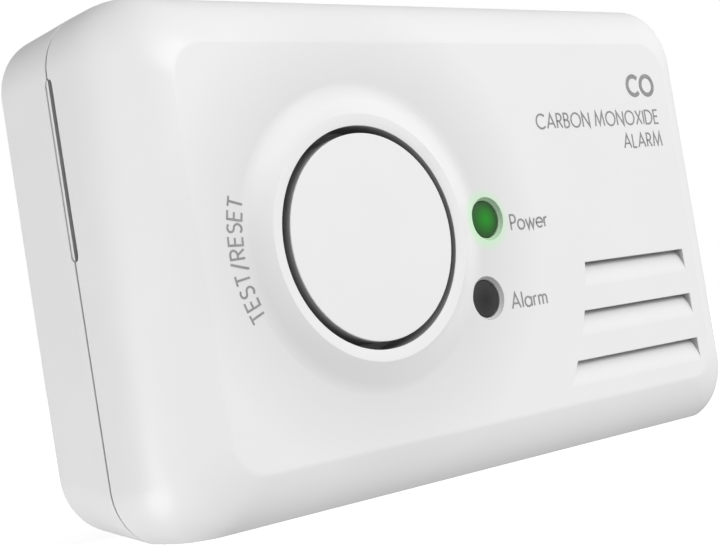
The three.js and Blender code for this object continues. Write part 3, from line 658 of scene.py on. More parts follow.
def rear_housing():
    shell = housing_shell()
    bay = block(
        "bay",
        (-BAY_HALF - BAY_WALL, BAY_FRONT - 1.2, BAY_LOW - 1.5),
        (BAY_HALF + BAY_WALL, BACK_INSIDE + 0.5, BAY_HIGH + BAY_WALL),
    )
    inside = [bay]
    for case_screw, board_screw in zip(CASE_SCREWS, BOARD_SCREWS):
        inside.append(round_bar("column", COLUMN_RADIUS, SEAM_Y + PLAY, BACK_Y - 1, case_screw))
        inside.append(round_bar("post", POST_RADIUS, BOARD_HIGH.y + 0.1, BACK_Y - 1, board_screw, 32))
    for side in SIDES:
        inside.append(pocket(side * KEYHOLE_X, POCKET_FRONT, BACK_Y - 1, POCKET_WALL + 0.2))
    inside_the_case(inside)
    feet = []
    for side in SIDES:
        left = side * FOOT_X - FOOT_HALF
        right = side * FOOT_X + FOOT_HALF
        feet.append(block("foot", (left, FOOT_FRONT, 0), (right, FOOT_BACK, DRAFT_BOTTOM + 1)))
    combine(shell, [seam_lip(), *inside, *feet], "UNION")

    opening_half = DOOR_HIGH.x + PLAY
    opening_low = DOOR_PANEL_LOW - PLAY
    opening_high = DOOR_HIGH.z + PLAY
    label_floor = BACK_Y - LABEL_RECESS_DEPTH
    cuts = [
        block("bay_space", (-BAY_HALF, BAY_FRONT, BAY_LOW), (BAY_HALF, BACK_Y + 1, BAY_HIGH)),
        sunk_rectangle("door_opening", opening_half, opening_low, opening_high, BACK_INSIDE - 0.1, 0.8),
        round_hole("finger_notch", NOTCH_RADIUS, BACK_Y, BACK_Y - NOTCH_DEPTH, 0, opening_high, 0.25, 64),
        sunk_rectangle("label", LABEL_RECESS_HALF, LABEL_RECESS_LOW, LABEL_RECESS_HIGH, label_floor, 1),
    ]
    pilot_front = BOARD_HIGH.y - 1
    pilot_back = BOARD_HIGH.y + 7
    for case_screw, board_screw in zip(CASE_SCREWS, BOARD_SCREWS):
        x, z = case_screw.x, case_screw.z
        cuts.append(round_hole("screw_well", SCREW_WELL_RADIUS, BACK_Y, SCREW_WELL_FLOOR, x, z, 0.3))
        cuts.append(round_bar("screw_hole", SCREW_HOLE_RADIUS, SEAM_Y - 3, 6, case_screw))
        cuts.append(round_bar("pilot", POST_PILOT_RADIUS, pilot_front, pilot_back, board_screw, 24))
    for side in SIDES:
        cuts.append(keyhole_cutter(side * KEYHOLE_X))
        cuts.append(pocket(side * KEYHOLE_X, POCKET_FRONT + POCKET_WALL, BACK_INSIDE))
        left = side * HOOK_X - HOOK_HALF - 0.4
        right = side * HOOK_X + HOOK_HALF + 0.4
        cuts.append(block("hook_slot", (left, 11.4, 3.3), (right, BACK_INSIDE, BAY_LOW + 1)))
        cuts.append(vent_cutter(side, SEAM_Y - 2, SEAM_Y))
        cuts.append(vent_recess(side))
    for terminal in ("positive_terminal", "negative_terminal"):
        z = middle(terminal).z
        low = (BAY_HALF - 1.2, BAY_FRONT - 2, z - TERMINAL_SLIT_HALF)
        cuts.append(block("terminal_slit", low, (BAY_HALF, BAY_FRONT + 1, z + TERMINAL_SLIT_HALF)))
    return combine(shell, cuts)


def battery_door():
    """The door's panel, with two hooks behind the housing's lower strip and a thumb recess."""
    low = DOOR_PANEL_LOW
    high = DOOR_HIGH.z
    half = DOOR_HIGH.x
    rings = []
    edge = 0.25
    for sine, cosine in quarter_turn(4):
        inset = edge * (1 - sine)
        y = BACK_Y - edge * (1 - cosine)
        rings.append(rounded_ring(half - inset, low + inset, high - inset, 0.8 - inset, y, steps=6))
    rings.append(rounded_ring(half, low, high, 0.8, BACK_INSIDE + 0.15, steps=6))
    rings.append(rounded_ring(half - 0.15, low + 0.15, high - 0.15, 0.65, BACK_INSIDE, steps=6))
    panel = loft("door_panel", rings)
    hooks = []
    for side in SIDES:
        left = side * HOOK_X - HOOK_HALF
        right = side * HOOK_X + HOOK_HALF
        hooks.append(block("hook", (left, HOOK_FRONT, HOOK_FOOT), (right, HOOK_BACK, HOOK_TOP)))
        root_low = (left, HOOK_BACK - 0.5, low + 0.1)
        hooks.append(block("hook_root", root_low, (right, BACK_INSIDE + 0.5, HOOK_TOP)))
    ribs = []
    for number in range(-2, 3):
        x = number * RIB_SPACING
        rib_low = (x - 0.5, BACK_INSIDE - 0.35, low + 2.4)
        ribs.append(block("rib", rib_low, (x + 0.5, BACK_INSIDE + 0.5, high - 2)))
    combine(panel, [*hooks, *ribs], "UNION")
    floor = BACK_Y - NOTCH_DEPTH
    recess = round_hole("thumb_recess", THUMB_RADIUS, BACK_Y, floor, 0, high - 0.7, 0.25, 64)
    return combine(panel, [recess])


# ---------------------------------------------------------------- button and lamps


def test_button():
    """The cap: a round face, a skirt round its edge and a stem that snaps into the well's floor."""
    rounding = 0.15
    floor_back = WELL_FLOOR + WELL_FLOOR_THICK
    skirt_back = WELL_FLOOR - 1.2
    underside = BUTTON_FACE + 1.8
    inside = CAP_RADIUS - 1.5
    stem = 3
    snap = 3.9
    profile = []
    for sine, cosine in quarter_turn(6):
        profile.append((CAP_RADIUS - rounding * (1 - sine), BUTTON_FACE + rounding * (1 - cosine)))
    profile += [
        (CAP_RADIUS, skirt_back - 0.2),
        (CAP_RADIUS - 0.2, skirt_back),
        (inside + 0.2, skirt_back),
        (inside, skirt_back - 0.2),
        (inside, underside + 0.5),
        (inside - 0.5, underside),
        (stem + 0.5, underside),
        (stem, underside + 0.5),
        (stem, floor_back + 0.15),
        (snap, floor_back + 0.15),
        (snap, floor_back + 0.8),
        (snap - 0.7, floor_back + 1.15),
    ]
    return turned("test_button_cap", profile, (BUTTON.x, BUTTON.z))


def lamp(name, node):
    """A round lens with a low crown, and the flange and two legs that it stands on."""
    low, high = span(node)
    spot = middle(node)
    base = BOARD_LOW.y - 0.1
    steps = 8
    profile = []
    for i in range(steps + 1):
        share = (i + 0.15) / (steps + 0.15)
        profile.append((LAMP_RADIUS * share, low.y + LAMP_CROWN * share**2))
    flange = LAMP_RADIUS + 0.4
    profile += [(LAMP_RADIUS, base - 1), (flange, base - 1), (flange, base)]
    body = turned(name, profile, (spot.x, spot.z), 64)
    legs = []
    thin = 0.25  # half a leg's thickness
    for side in SIDES:
        x = spot.x + side * LEAD_SPACING / 2
        legs.append(block("leg", (x - thin, base - 0.5, spot.z - thin), (x + thin, high.y, spot.z + thin)))
    return combine(body, legs, "UNION")


# ---------------------------------------------------------------- cells and their springs


JACKET_RADIUS = 6.3  # the jacket is rolled over the can's ends as far in as this
BAND_LENGTH = 10.5  # of the jacket's second colour, at the positive end


def paint_cell(made, node):
    """Leaves the can's ends bare and gives the jacket its coloured band."""
    low, high = span(node)
    spot = middle(node)
    positive_end = high.x if spot.x > 0 else low.x
    made.data.materials.append(FINISHES["cell_band"])
    made.data.materials.append(FINISHES["plated_steel"])
    for polygon in made.data.polygons:
        place = polygon.center / MM
        if math.hypot(place.y - spot.y, place.z - spot.z) < JACKET_RADIUS:
            polygon.material_index = 2
        elif abs(place.x - positive_end) < BAND_LENGTH:
            polygon.material_index = 1


def cell(name, node):
    """An AA cell along X: a steel can in a jacket that is rolled over both ends."""
    low, high = span(node)
    spot = middle(node)
    radius = (high.y - low.y) / 2
    positive = 1 if spot.x > 0 else -1
    length = high.x - low.x
    points = [
        (4.6, 0),
        (4.8, 0.12),
        (5.2, 0.3),
        (6.0, 0.3),
        (6.2, 0.12),
        (6.5, 0.05),
        (radius - 0.25, 0.12),
        (radius - 0.05, 0.35),
        (radius, 0.7),
        (radius, length - BAND_LENGTH),
        (radius, length - 2.0),
        (radius - 0.08, length - 1.65),
        (radius - 0.3, length - 1.4),
        (radius - 0.6, length - 1.32),
        (6.1, length - 1.36),
        (5.9, length - 1.6),
        (3.4, length - 1.6),
        (2.9, length - 1.45),
        (2.7, length - 1.1),
        (2.7, length - 0.35),
        (2.6, length - 0.12),
        (2.35, length),
    ]
    start = low.x if positive > 0 else high.x
    profile = [(r, start + positive * along) for r, along in points]
    return turned(name, profile, (spot.y, spot.z), 96, along="X")


def coil_spring(name, node, turns, wire, first, last):
    """A spring along X in a node's place, from one coil radius to another, with flat end coils."""
    low, high = span(node)
    spot = middle(node)
    start = low.x + wire
    end = high.x - wire

    def path(share):
        angle = 2 * math.pi * turns * share
        radius = lerp(first, last, share)
        eased = min(max((share * turns - 0.7) / (turns - 1.4), 0), 1)
        x = lerp(start, end, eased)
        return Vector((x, spot.y + radius * math.cos(angle), spot.z + radius * math.sin(angle)))

    count = int(turns * 40)
    sides = 12
    rings = []
    for i in range(count + 1):
        here = path(i / count)
        ahead = (path(min(i / count + 0.001, 1)) - path(max(i / count - 0.001, 0))).normalized()
        across = ahead.orthogonal().normalized()
        if rings:
            across = (last_across - ahead * last_across.dot(ahead)).normalized()
        last_across = across
        up = ahead.cross(across)
        ring = []
        for k in range(sides):
            angle = 2 * math.pi * k / sides
            ring.append(tuple(here + wire * (across * math.cos(angle) + up * math.sin(angle))))
        rings.append(ring)
    return loft(name, rings)


# ---------------------------------------------------------------- lettering

INK_PROUD = 0.035
STROKE = 0.125  # width of a letter's strokes, as a share of its height


def bend(x, y, radius, start, end, steps=14):
    """Points round an arc, in degrees."""
    points = []
    for i in range(steps + 1):
        angle = math.radians(lerp(start, end, i / steps))
        points.append((x + radius * math.cos(angle), y + radius * math.sin(angle)))
    return points


# Each letter is its width and its strokes, one capital's height being 1.
LETTERS = {
    "A": (0.80, [[(0, 0), (0.40, 1), (0.80, 0)], [(0.13, 0.32), (0.67, 0.32)]]),
    "B": (
        0.50,
        [
            [(0, 0), (0, 1), *bend(0.22, 0.765, 0.235, 90, -90), (0, 0.53)],
            [(0.2, 0.53), *bend(0.235, 0.265, 0.265, 90, -90), (0, 0)],
        ],
    ),
    "C": (0.84, [bend(0.5, 0.5, 0.5, 46, 314, 28)]),
    "D": (0.76, [[(0, 0), (0, 1), *bend(0.26, 0.5, 0.5, 90, -90, 22), (0, 0)]]),
    "E": (0.46, [[(0.46, 1), (0, 1), (0, 0), (0.46, 0)], [(0, 0.53), (0.42, 0.53)]]),
    "I": (0.0, [[(0, 0), (0, 1)]]),
    "L": (0.40, [[(0, 1), (0, 0), (0.40, 0)]]),
    "M": (0.98, [[(0, 0), (0.15, 1), (0.49, 0.1), (0.83, 1), (0.98, 0)]]),
    "N": (0.70, [[(0, 0), (0, 1), (0.70, 0), (0.70, 1)]]),
    "O": (1.00, [bend(0.5, 0.5, 0.5, 0, 360, 36)]),
    "P": (0.50, [[(0, 0), (0, 1), *bend(0.23, 0.73, 0.27, 90, -90), (0, 0.46)]]),
    "R": (0.52, [[(0, 0), (0, 1), *bend(0.22, 0.74, 0.26, 90, -90), (0, 0.48)], [(0.2, 0.48), (0.52, 0)]]),
    "S": (0.50, [[*bend(0.26, 0.77, 0.23, 40, 250, 16), *bend(0.24, 0.27, 0.27, 70, -140, 16)]]),
    "T": (0.54, [[(0, 1), (0.54, 1)], [(0.27, 1), (0.27, 0)]]),
    "X": (0.62, [[(0, 0), (0.62, 1)], [(0, 1), (0.62, 0)]]),
    "/": (0.42, [[(0, -0.12), (0.42, 1.1)]]),
    "a": (0.64, [bend(0.32, 0.32, 0.32, 0, 360, 28), [(0.64, 0), (0.64, 0.64)]]),
    "e": (0.64, [[(0.0, 0.32), *bend(0.32, 0.32, 0.32, 0, 315, 26)]]),
    "l": (0.0, [[(0, 0), (0, 1.04)]]),
    "m": (
        0.76,
        [
            [(0, 0), (0, 0.64)],
            [*bend(0.19, 0.44, 0.19, 180, 0), (0.38, 0)],
            [*bend(0.57, 0.44, 0.19, 180, 0), (0.76, 0)],
        ],
    ),
    "o": (0.64, [bend(0.32, 0.32, 0.32, 0, 360, 28)]),
    "r": (0.26, [[(0, 0), (0, 0.64)], bend(0.21, 0.42, 0.21, 180, 75, 8)]),
    "w": (0.84, [[(0, 0.64), (0.21, 0), (0.42, 0.58), (0.63, 0), (0.84, 0.64)]]),
}
LETTER_GAP = 0.24
WORD_GAP = 0.42


def ribbon(points, width):
    """The left and right sides of a stroke, mitred where it turns."""
    closed = math.dist(points[0], points[-1]) < 1e-6
    if closed:
        points = points[:-1]
    count = len(points)
    sides = []
    for i, (x, y) in enumerate(points):
        before = points[i - 1] if closed or i > 0 else None
        after = points[(i + 1) % count] if closed or i + 1 < count else None
        normals = []
        for a, b in ((before, (x, y)), ((x, y), after)):
            if a and b:
                length = math.dist(a, b)
                normals.append(Vector(((a[1] - b[1]) / length, (b[0] - a[0]) / length)))
        across = sum(normals, Vector((0, 0))).normalized()
        across *= width / 2 / max(across.dot(normals[0]), 0.28)
        sides.append(((x + across.x, y + across.y), (x - across.x, y - across.y)))
    return sides, closed


def lettering(name, text, size, spot, stroke=STROKE, gap=LETTER_GAP):
    """Words in thin raised ink. spot(along, up) gives x and z on the face for a text point."""
    letters = []
    pen = 0
    for character in text:
        if character == " ":
            pen += WORD_GAP
            continue
        width, strokes = LETTERS[character]
        parts = []
        for points in strokes:
            sides, closed = ribbon(points, stroke)
            rings = []
            for left, right in sides:
                ring = []
                for (u, v), y in ((left, -INK_PROUD), (right, -INK_PROUD), (right, 0.02), (left, 0.02)):
                    x, z = spot((pen + u) * size, v * size)
                    ring.append((x, ground(math.hypot(x - BUTTON.x, z - BUTTON.z)) + y, z))
                rings.append(ring)
            parts.append(loft(name, rings, closed))
        letters.append(combine(parts[0], parts[1:], "UNION") if len(parts) > 1 else parts[0])
        pen += width + gap
    return joined(name, letters)


def text_length(text, size):
    widths = [WORD_GAP if c == " " else LETTERS[c][0] + LETTER_GAP for c in text]
    return (sum(widths) - LETTER_GAP) * size


def joined(name, parts):
    """Separate bodies as one object."""
    points = []
    faces = []
    for part in parts:
        base = len(points)
        points += [tuple(vertex.co / MM) for vertex in part.data.vertices]
        faces += [tuple(base + i for i in polygon.vertices) for polygon in part.data.polygons]
        discard(part)
    return new_piece(name, points, faces)


def line_of_text(name, text, size, x, z, stroke=STROKE, right_aligned=False, gap=LETTER_GAP):
    start = x - text_length(text, size) if right_aligned else x
    return lettering(name, text, size, lambda along, up: (start + along, z + up), stroke, gap)


def curved_text(name, text, size, radius, middle_angle):
    """Text that reads clockwise round the button, with its foot on a circle."""
    half = text_length(text, size) / radius / 2

    def spot(along, up):
        angle = math.radians(middle_angle) + half - along / radius
        return BUTTON.x + (radius + up) * math.cos(angle), BUTTON.z + (radius + up) * math.sin(angle)

    return lettering(name, text, size, spot)


def label_rules():
    """The frame and the ruled lines printed on the label, which are left without any words."""
    ink_foot = LABEL_HIGH.y - 0.01
    ink_top = LABEL_HIGH.y + 0.02
    margin = 1.2
    left, right = LABEL_LOW.x + margin, LABEL_HIGH.x - margin
    low, high = LABEL_LOW.z + margin, LABEL_HIGH.z - margin
    line = 0.25
    rings = []
    for inset, y in ((0, ink_foot), (0, ink_top), (line, ink_top), (line, ink_foot)):
        rings.append(rounded_ring(right - inset, low + inset, high - inset, 1 - inset, y))
    parts = [loft("label_frame", rings, closed=True)]
    rule_count = 4
    for i in range(1, rule_count + 1):
        z = lerp(low, high, i / (rule_count + 1))
        parts.append(block("rule", (left + 2, ink_foot, z - 0.1), (right - 2, ink_top, z + 0.1)))
    return joined("label_rules", parts)


# ---------------------------------------------------------------- finishes


def put(node, socket, value):
    node.inputs[socket].default_value = value


class Nodes:
    """A node tree and short ways to add and to link its nodes."""

    def __init__(self, tree):
        self.tree = tree

    def node(self, kind, **settings):
        made = self.tree.nodes.new("ShaderNode" + kind)
        for key, value in settings.items():
            setattr(made, key, value)
        return made

    def link(self, source, target):
        self.tree.links.new(source, target)


class Finish(Nodes):
    """A material and the few node recipes that the finishes share."""

    def __init__(self, name, colour, roughness, metallic=0):
        self.material = bpy.data.materials.new(name)
        self.material.use_nodes = True
        super().__init__(self.material.node_tree)
        self.shader = self.tree.nodes["Principled BSDF"]
        put(self.shader, "Base Color", (*colour, 1))
        put(self.shader, "Roughness", roughness)
        put(self.shader, "Metallic", metallic)
        self.place = self.node("TexCoord").outputs["Object"]

    def noise(self, size, detail, stretch=(1, 1, 1)):
        """Noise whose features are about that many millimetres across."""
        made = self.node("TexNoise")
        put(made, "Scale", 1 / (size * MM))
        put(made, "Detail", detail)
        scaled = self.node("Mapping")
        put(scaled, "Scale", stretch)
        self.link(self.place, scaled.inputs["Vector"])
        self.link(scaled.outputs["Vector"], made.inputs["Vector"])
        return made.outputs["Fac"]

    def span(self, value, low, high, start=0.3, end=0.7):
        """The value's range from start to end, spread over low to high."""
        made = self.node("MapRange")
        self.link(value, made.inputs["Value"])
        for key, number in (("From Min", start), ("From Max", end), ("To Min", low), ("To Max", high)):
            put(made, key, number)
        return made.outputs["Result"]

    def mix(self, share, first, second):
        made = self.node("Mix", data_type="RGBA")
        self.link(share, made.inputs["Factor"])
        for socket, value in ((6, first), (7, second)):
            if isinstance(value, tuple):
                put(made, socket, (*value, 1))
            else:
                self.link(value, made.inputs[socket])
        return made.outputs[2]

    def colour(self, source):
        self.link(source, self.shader.inputs["Base Color"])

    def vary_colour(self, first, second, size):
        self.colour(self.mix(self.span(self.noise(size, 4), 0, 1), first, second))

    def vary_roughness(self, low, high, size, stretch=(1, 1, 1)):
        self.link(self.span(self.noise(size, 3, stretch), low, high), self.shader.inputs["Roughness"])

    def bump(self, size, height, stretch=(1, 1, 1)):
        """A grain of that feature size and height, both in millimetres, over any bump below it."""
        made = self.node("Bump")
        put(made, "Distance", height * MM)
        self.link(self.noise(size, 2, stretch), made.inputs["Height"])
        normal = self.shader.inputs["Normal"]
        if normal.is_linked:
            self.link(normal.links[0].from_socket, made.inputs["Normal"])
        self.link(made.outputs["Normal"], normal)

    def edges(self, radius):
        """How near a rounded or sharp edge a point is: 0 on flat ground, up to about 1."""
        soft = self.node("Bevel", samples=4)
        put(soft, "Radius", radius * MM)
        flat = self.node("NewGeometry")
        both = self.node("VectorMath", operation="DOT_PRODUCT")
        self.link(soft.outputs["Normal"], both.inputs[0])
        self.link(flat.outputs["Normal"], both.inputs[1])
        return self.span(both.outputs["Value"], 1, 0, 0.75, 0.99)

    def open_sky(self, distance, closed, clear):
        """1 on open ground, down to 0 in a gap much narrower than the distance. The last two are
        the shares of the sky at which it is 0 and 1."""
        sky = self.node("AmbientOcclusion", samples=8)
        put(sky, "Distance", distance * MM)
        return self.span(sky.outputs["AO"], 0, 1, closed, clear)

    def glow(self, spot, colour, near, far, strength):
        """Light that a lamp throws on the ground round it, from one distance to another."""
        away = self.distance_from(spot, far, near)
        self.link(self.mix(away, colour, grey(0)), self.shader.inputs["Emission Color"])
        put(self.shader, "Emission Strength", strength)

    def tint(self, spot, colour, near, far):
        """Colours the ground round a spot, most at one distance and not at all at another."""
        ground = self.shader.inputs["Base Color"].links[0].from_socket
        self.colour(self.mix(self.distance_from(spot, far, near), colour, ground))

    def ring_tint(self, spot, colour, near, peak, far):
        """Colours the ground at one distance from a spot, fading out towards and away from it."""
        ground = self.shader.inputs["Base Color"].links[0].from_socket
        outside = self.mix(self.distance_from(spot, far, peak), colour, ground)
        self.colour(self.mix(self.distance_from(spot, peak, near), ground, outside))

    def distance_from(self, spot, radius, near=0):
        """How far a point is from a line along Y through a spot, as a share of a radius."""
        shifted = self.node("Mapping")
        put(shifted, "Location", (-spot.x * MM, 0, -spot.z * MM))
        put(shifted, "Scale", (1, 0, 1))
        self.link(self.place, shifted.inputs["Vector"])
        length = self.node("VectorMath", operation="LENGTH")
        self.link(shifted.outputs["Vector"], length.inputs[0])
        return self.span(length.outputs["Value"], 0, 1, near * MM, radius * MM)


def grey(value):
    return (value, value, value)


GAP_SHADE = 0.62  # how much of the plastic's tone is left in its narrow gaps, as painted shade
DEEP_GAP_SHADE = 0.1  # the same in the deep gap round the button, a darker painted shade
HOLLOW_SHADE = 0.7  # the same in hollows such as the louvres, as painted shade


def white_plastic(name, tone, roughness, gap_radius=HALF_WIDTH * 2):
    """Satin moulded plastic: a fine spark-eroded grain over a faint moulding waviness, edges that
    handling has polished a little, and painted shade in its gaps and hollows, darkest within a radius of the
    button."""
    made = Finish(name, grey(tone), roughness)
    ground = made.mix(made.span(made.noise(18, 4), 0, 1), grey(tone * 0.988), grey(tone * 1.008))
    rubbed = made.mix(made.edges(0.35), ground, grey(tone * 1.03))
    # Painted shade: the colour darkens in narrow gaps and in hollows, by how little open space a point sees
    # round it.
    beyond = made.distance_from(BUTTON, gap_radius + 0.5, gap_radius)
    gap = made.mix(beyond, grey(tone * DEEP_GAP_SHADE), grey(tone * GAP_SHADE))
    hollow = made.mix(made.open_sky(4, 0.3, 0.96), grey(tone * HOLLOW_SHADE), rubbed)
    made.colour(made.mix(made.open_sky(2.2, 0.08, 0.54), gap, hollow))
    made.vary_roughness(roughness - 0.05, roughness + 0.06, 6)
    made.bump(14, 0.02)
    made.bump(0.28, 0.006)
    put(made.shader, "IOR", 1.46)
    return made


def lens(name, centre, edge, spot, glow):
    """A tinted lens, lighter over the chip in its middle."""
    made = Finish(name, centre, 0.38)
    away = made.distance_from(spot, LAMP_RADIUS)
    tint = made.mix(away, centre, edge)
    made.colour(tint)
    if glow > 0:
        made.link(tint, made.shader.inputs["Emission Color"])
        put(made.shader, "Emission Strength", glow)
    made.vary_roughness(0.34, 0.46, 1.5)
    made.bump(0.5, 0.004)
    put(made.shader, "Specular IOR Level", 0.15)
    return made.material


def dark_plastic(name, tone, roughness):
    made = Finish(name, grey(tone), roughness)
    made.vary_colour(grey(tone * 0.85), grey(tone * 1.2), 5)
    made.vary_roughness(roughness - 0.08, roughness + 0.1, 3)
    made.bump(0.25, 0.01)
    return made.material


def metal(name, colour, roughness, stretch=(1, 1, 1)):
    """Plated metal with fine drawing marks and a few dull patches."""
    made = Finish(name, colour, roughness, 1)
    darker = tuple(0.82 * part for part in colour)
    made.vary_colour(darker, colour, 4)
    made.vary_roughness(roughness - 0.08, roughness + 0.14, 1.2, stretch)
    made.bump(0.35, 0.006, stretch)
    return made.material


def circuit_board():
    """Solder mask over copper: tracks show as slightly lighter bands."""
    made = Finish("circuit_board", (0.02, 0.13, 0.05), 0.35)
    tracks = made.node("TexBrick")
    put(tracks, "Scale", 260)
    put(tracks, "Mortar Size", 0.06)
    turned_round = made.node("Mapping")
    put(turned_round, "Rotation", (math.pi / 2, 0, 0))
    made.link(made.place, turned_round.inputs["Vector"])
    made.link(turned_round.outputs["Vector"], tracks.inputs["Vector"])
    made.colour(made.mix(tracks.outputs["Fac"], (0.018, 0.12, 0.045), (0.035, 0.2, 0.075)))
    made.vary_roughness(0.28, 0.42, 4)
    made.bump(0.8, 0.01)
    return made.material


def cell_jacket(name, colour):
    """A printed film shrunk round the can."""
    made = Finish(name, colour, 0.3)
    made.vary_colour(tuple(0.9 * part for part in colour), colour, 12)
    made.vary_roughness(0.26, 0.36, 8)
    made.bump(5, 0.004)
    put(made.shader, "Coat Weight", 0.4)
    return made.material


def paper():
    made = Finish("label_paper", grey(0.62), 0.6)
    made.vary_colour(grey(0.61), grey(0.64), 14)
    made.vary_roughness(0.5, 0.7, 2)
    made.bump(0.3, 0.008)
    return made.material


def ink():
    """Pad-printed grey ink, thinner and lighter in places."""
    made = Finish("print_ink", grey(0.24), 0.55)
    made.vary_colour(grey(0.22), grey(0.28), 1.2)
    made.vary_roughness(0.48, 0.62, 0.8)
    made.bump(0.2, 0.004)
    return made.material


CASE_TONE = 0.75
cover_plastic = white_plastic("cover_plastic", CASE_TONE, 0.42, RIM_RADIUS)
# Painted shade on the face in a broad ring round the mound's foot, fading towards the rim and out over the
# face, centred a little right of and above the button.
MOUND_SHADE = grey(CASE_TONE * 0.875)
MOUND_SHADE_SPOT = BUTTON + Vector((1.3, 0, 0.9))
cover_plastic.ring_tint(MOUND_SHADE_SPOT, MOUND_SHADE, RIM_RADIUS + 1.2, MOUND_RADIUS - 0.4, 33)
# Painted light from the power lamp on the face round its hole: a green tint of the colour and a faint green
# glow.
HALO_SPOT = LAMPS[0] + Vector((-0.4, 0, -0.15))
cover_plastic.tint(HALO_SPOT, (0.54, 0.74, 0.53), near=3.0, far=4.8)
cover_plastic.glow(HALO_SPOT, (0.0, 1.0, 0.0), near=2.8, far=5.2, strength=0.025)

FINISHES = {
    "case_plastic": white_plastic("case_plastic", CASE_TONE, 0.42, 0).material,
    "cover_plastic": cover_plastic.material,
    "button_plastic": white_plastic("button_plastic", CASE_TONE, 0.38).material,
    "power_lens": lens("power_lens", (0.012, 0.20, 0.012), (0.02, 0.05, 0.02), LAMPS[0], 0.36),
    "alarm_lens": lens("alarm_lens", grey(0.02), grey(0.04), LAMPS[1], 0),
    "circuit_board": circuit_board(),
    "black_plastic": dark_plastic("black_plastic", 0.02, 0.5),
    "grey_plastic": dark_plastic("grey_plastic", 0.16, 0.55),
    "plated_steel": metal("plated_steel", (0.62, 0.63, 0.65), 0.3, (1, 6, 1)),
    "sounder_brass": metal("sounder_brass", (0.72, 0.52, 0.22), 0.32),
    "sounder_ceramic": dark_plastic("sounder_ceramic", 0.72, 0.6),
    "ferrite": dark_plastic("ferrite", 0.05, 0.7),
    "cell_jacket": cell_jacket("cell_jacket", (0.035, 0.07, 0.13)),
    "cell_band": cell_jacket("cell_band", (0.55, 0.25, 0.10)),
    "label_paper": paper(),
    "print_ink": ink(),
}


def finished(made, body, slot, material=None):
    made.data.materials.clear()
    made.data.materials.append(FINISHES[material or slot])
    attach(made, body)
    return made


# ---------------------------------------------------------------- pieces


def add(made, body, slot, node, material=None):
    """Finishes a piece that stands for a frame node."""
    smooth(made)
    finished(made, body, slot, material)
    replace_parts(made, node)
    return made


add(front_cover(), "case", "case_plastic", "front_cover", "cover_plastic")
add(rear_housing(), "case", "case_plastic", "rear_housing")
add(battery_door(), "door", "case_plastic", "battery_door")
add(test_button(), "button", "button_plastic", "test_button")
add(lamp("power_lens", "power_lamp"), "case", "power_lens", "power_lamp")
add(lamp("alarm_lens", "alarm_lamp"), "case", "alarm_lens", "alarm_lamp")
for cell_name, node in (("upper_cell", "battery_upper"), ("lower_cell", "battery_lower")):
    paint_cell(add(cell(cell_name, node), "case", "cell_jacket", node), node)

WIDE_COIL = 4.2
NARROW_COIL = 2.6
for place, first, last in (("upper", WIDE_COIL, NARROW_COIL), ("lower", NARROW_COIL, WIDE_COIL)):
    node = f"battery_spring_{place}"
    name = f"{place}_cell_spring"
    spring = coil_spring(name, node, turns=3.5, wire=0.4, first=first, last=last)
    add(spring, "case", "plated_steel", node)

TITLE_RIGHT = 45.4
title = [
    line_of_text("title_1", "CO", 3.1, TITLE_RIGHT, 54.7, stroke=0.22, right_aligned=True),
    line_of_text("title_2", "CARBON MONOXIDE", 2.2, TITLE_RIGHT, 49.9, right_aligned=True),
    line_of_text("title_3", "ALARM", 2.16, TITLE_RIGHT, 46.15, right_aligned=True),
]
print_work = [
    joined("printed_title", title),
    line_of_text("printed_power", "Power", 2.22, 6.6, 35.0, gap=0.17),
    line_of_text("printed_alarm", "Alarm", 2.2, 4.1, 23.5),
    curved_text("printed_test", "TEST/RESET", 2.17, 20.8, 183),
    label_rules(),
]
for printed in print_work:
    finished(printed, "case", "case_plastic", "print_ink")

REPLACED = {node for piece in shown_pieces() for node in piece.get("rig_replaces", [])}
SLOT_OF = {part["node"]: part["material_slot"] for part in frame["record"]["subparts"]}
for node, part in frame["nodes"].items():
    if node in REPLACED:
        continue
    part.data.materials.clear()
    part.data.materials.append(FINISHES[SLOT_OF[node]])
    bevelled(part, 0.12)
    smooth(part, 35)

# ---------------------------------------------------------------- stage

FLOOR_RADIUS = 3000
FLOOR_GAP = 0.05
floor = turned("floor", [(FLOOR_RADIUS, 0), (FLOOR_RADIUS, 1)], sides=96)
floor.rotation_euler = (math.radians(90), 0, 0)
floor.location = (0, 0, -FLOOR_GAP * MM)
floor_finish = Finish("floor_white", grey(0.93), 0.8)
put(floor_finish.shader, "Specular IOR Level", 0)
put(floor_finish.shader, "Emission Color", (1, 1, 1, 1))
put(floor_finish.shader, "Emission Strength", 0.62)
floor.data.materials.append(floor_finish.material)
floor.visible_diffuse = False  # the room's own light stands for what the floor would throw back
floor.visible_glossy = False
floor.visible_shadow = False

BACKDROP = 1.0  # brightness of the backdrop in view
ROOM = 0.44  # mean brightness of the room that lights the object
ROOM_SLOPE = (0.3, -0.28, 0.12)  # how the room brightens to the right, the back and the top


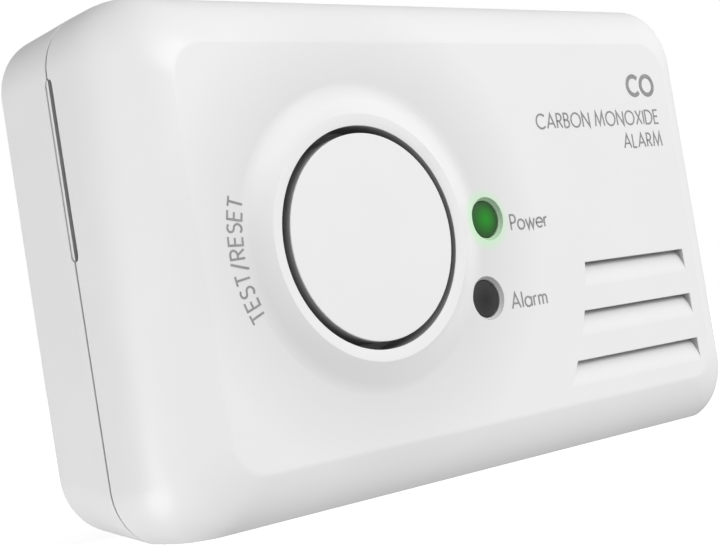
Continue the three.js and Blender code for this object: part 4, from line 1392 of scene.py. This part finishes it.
def studio_world():
    """A white backdrop in front of a dimmer room, whose light reaches the object."""
    world = bpy.data.worlds.new("studio")
    world.use_nodes = True
    nodes = Nodes(world.node_tree)
    room = nodes.tree.nodes["Background"]
    put(room, "Color", (1, 1, 1, 1))
    way = nodes.node("TexCoord")
    brighter = nodes.node("VectorMath", operation="DOT_PRODUCT")
    put(brighter, 1, ROOM_SLOPE)
    strength = nodes.node("Math", operation="ADD")
    put(strength, 1, ROOM)
    nodes.link(way.outputs["Generated"], brighter.inputs[0])
    nodes.link(brighter.outputs["Value"], strength.inputs[0])
    nodes.link(strength.outputs["Value"], room.inputs["Strength"])
    backdrop = nodes.node("Background")
    put(backdrop, "Color", (1, 1, 1, 1))
    put(backdrop, "Strength", BACKDROP)
    seen = nodes.node("LightPath")
    both = nodes.node("MixShader")
    nodes.link(seen.outputs["Is Camera Ray"], both.inputs["Fac"])
    nodes.link(room.outputs["Background"], both.inputs[1])
    nodes.link(backdrop.outputs["Background"], both.inputs[2])
    nodes.link(both.outputs["Shader"], nodes.tree.nodes["World Output"].inputs["Surface"])
    bpy.context.scene.world = world


studio_world()
bpy.context.scene.view_settings.view_transform = "Standard"

LIGHT_DISTANCE = 1.15


def soft_light(name, azimuth, elevation, size, power):
    """A round soft box. Azimuth 0 is in front of the face, and 90 to its right."""
    light = bpy.data.lights.new(name, "AREA")
    light.shape = "DISK"
    light.size = size
    light.energy = power
    made = bpy.data.objects.new(name, light)
    turn, lift = math.radians(azimuth), math.radians(elevation)
    away = Vector((math.sin(turn) * math.cos(lift), -math.cos(turn) * math.cos(lift), math.sin(lift)))
    made.location = Vector((0, 0, HEIGHT / 2 * MM)) + away * LIGHT_DISTANCE
    made.rotation_euler = away.to_track_quat("Z", "Y").to_euler()
    bpy.context.scene.collection.objects.link(made)


soft_light("key_light", azimuth=11, elevation=27.7, size=0.6, power=7.5)
soft_light("fill_light", azimuth=-102, elevation=-25, size=0.9, power=12.4)

CAMERA_PLACE = Vector((-154.9, -166.6, 23.1)) * MM
CAMERA_AIM = Vector((-6.63, 5.87, 32.65)) * MM
CAMERA_ROLL = -9.2
CAMERA_LENS = 74.9

camera_data = bpy.data.cameras.new("camera")
camera_data.lens = CAMERA_LENS
camera_data.clip_start = 0.01
camera = bpy.data.objects.new("camera", camera_data)
bpy.context.scene.collection.objects.link(camera)
turn = (CAMERA_AIM - CAMERA_PLACE).to_track_quat("-Z", "Y").to_matrix().to_4x4()
roll = Matrix.Rotation(math.radians(CAMERA_ROLL), 4, "Z")
camera.matrix_world = Matrix.Translation(CAMERA_PLACE) @ turn @ roll
bpy.context.scene.camera = camera
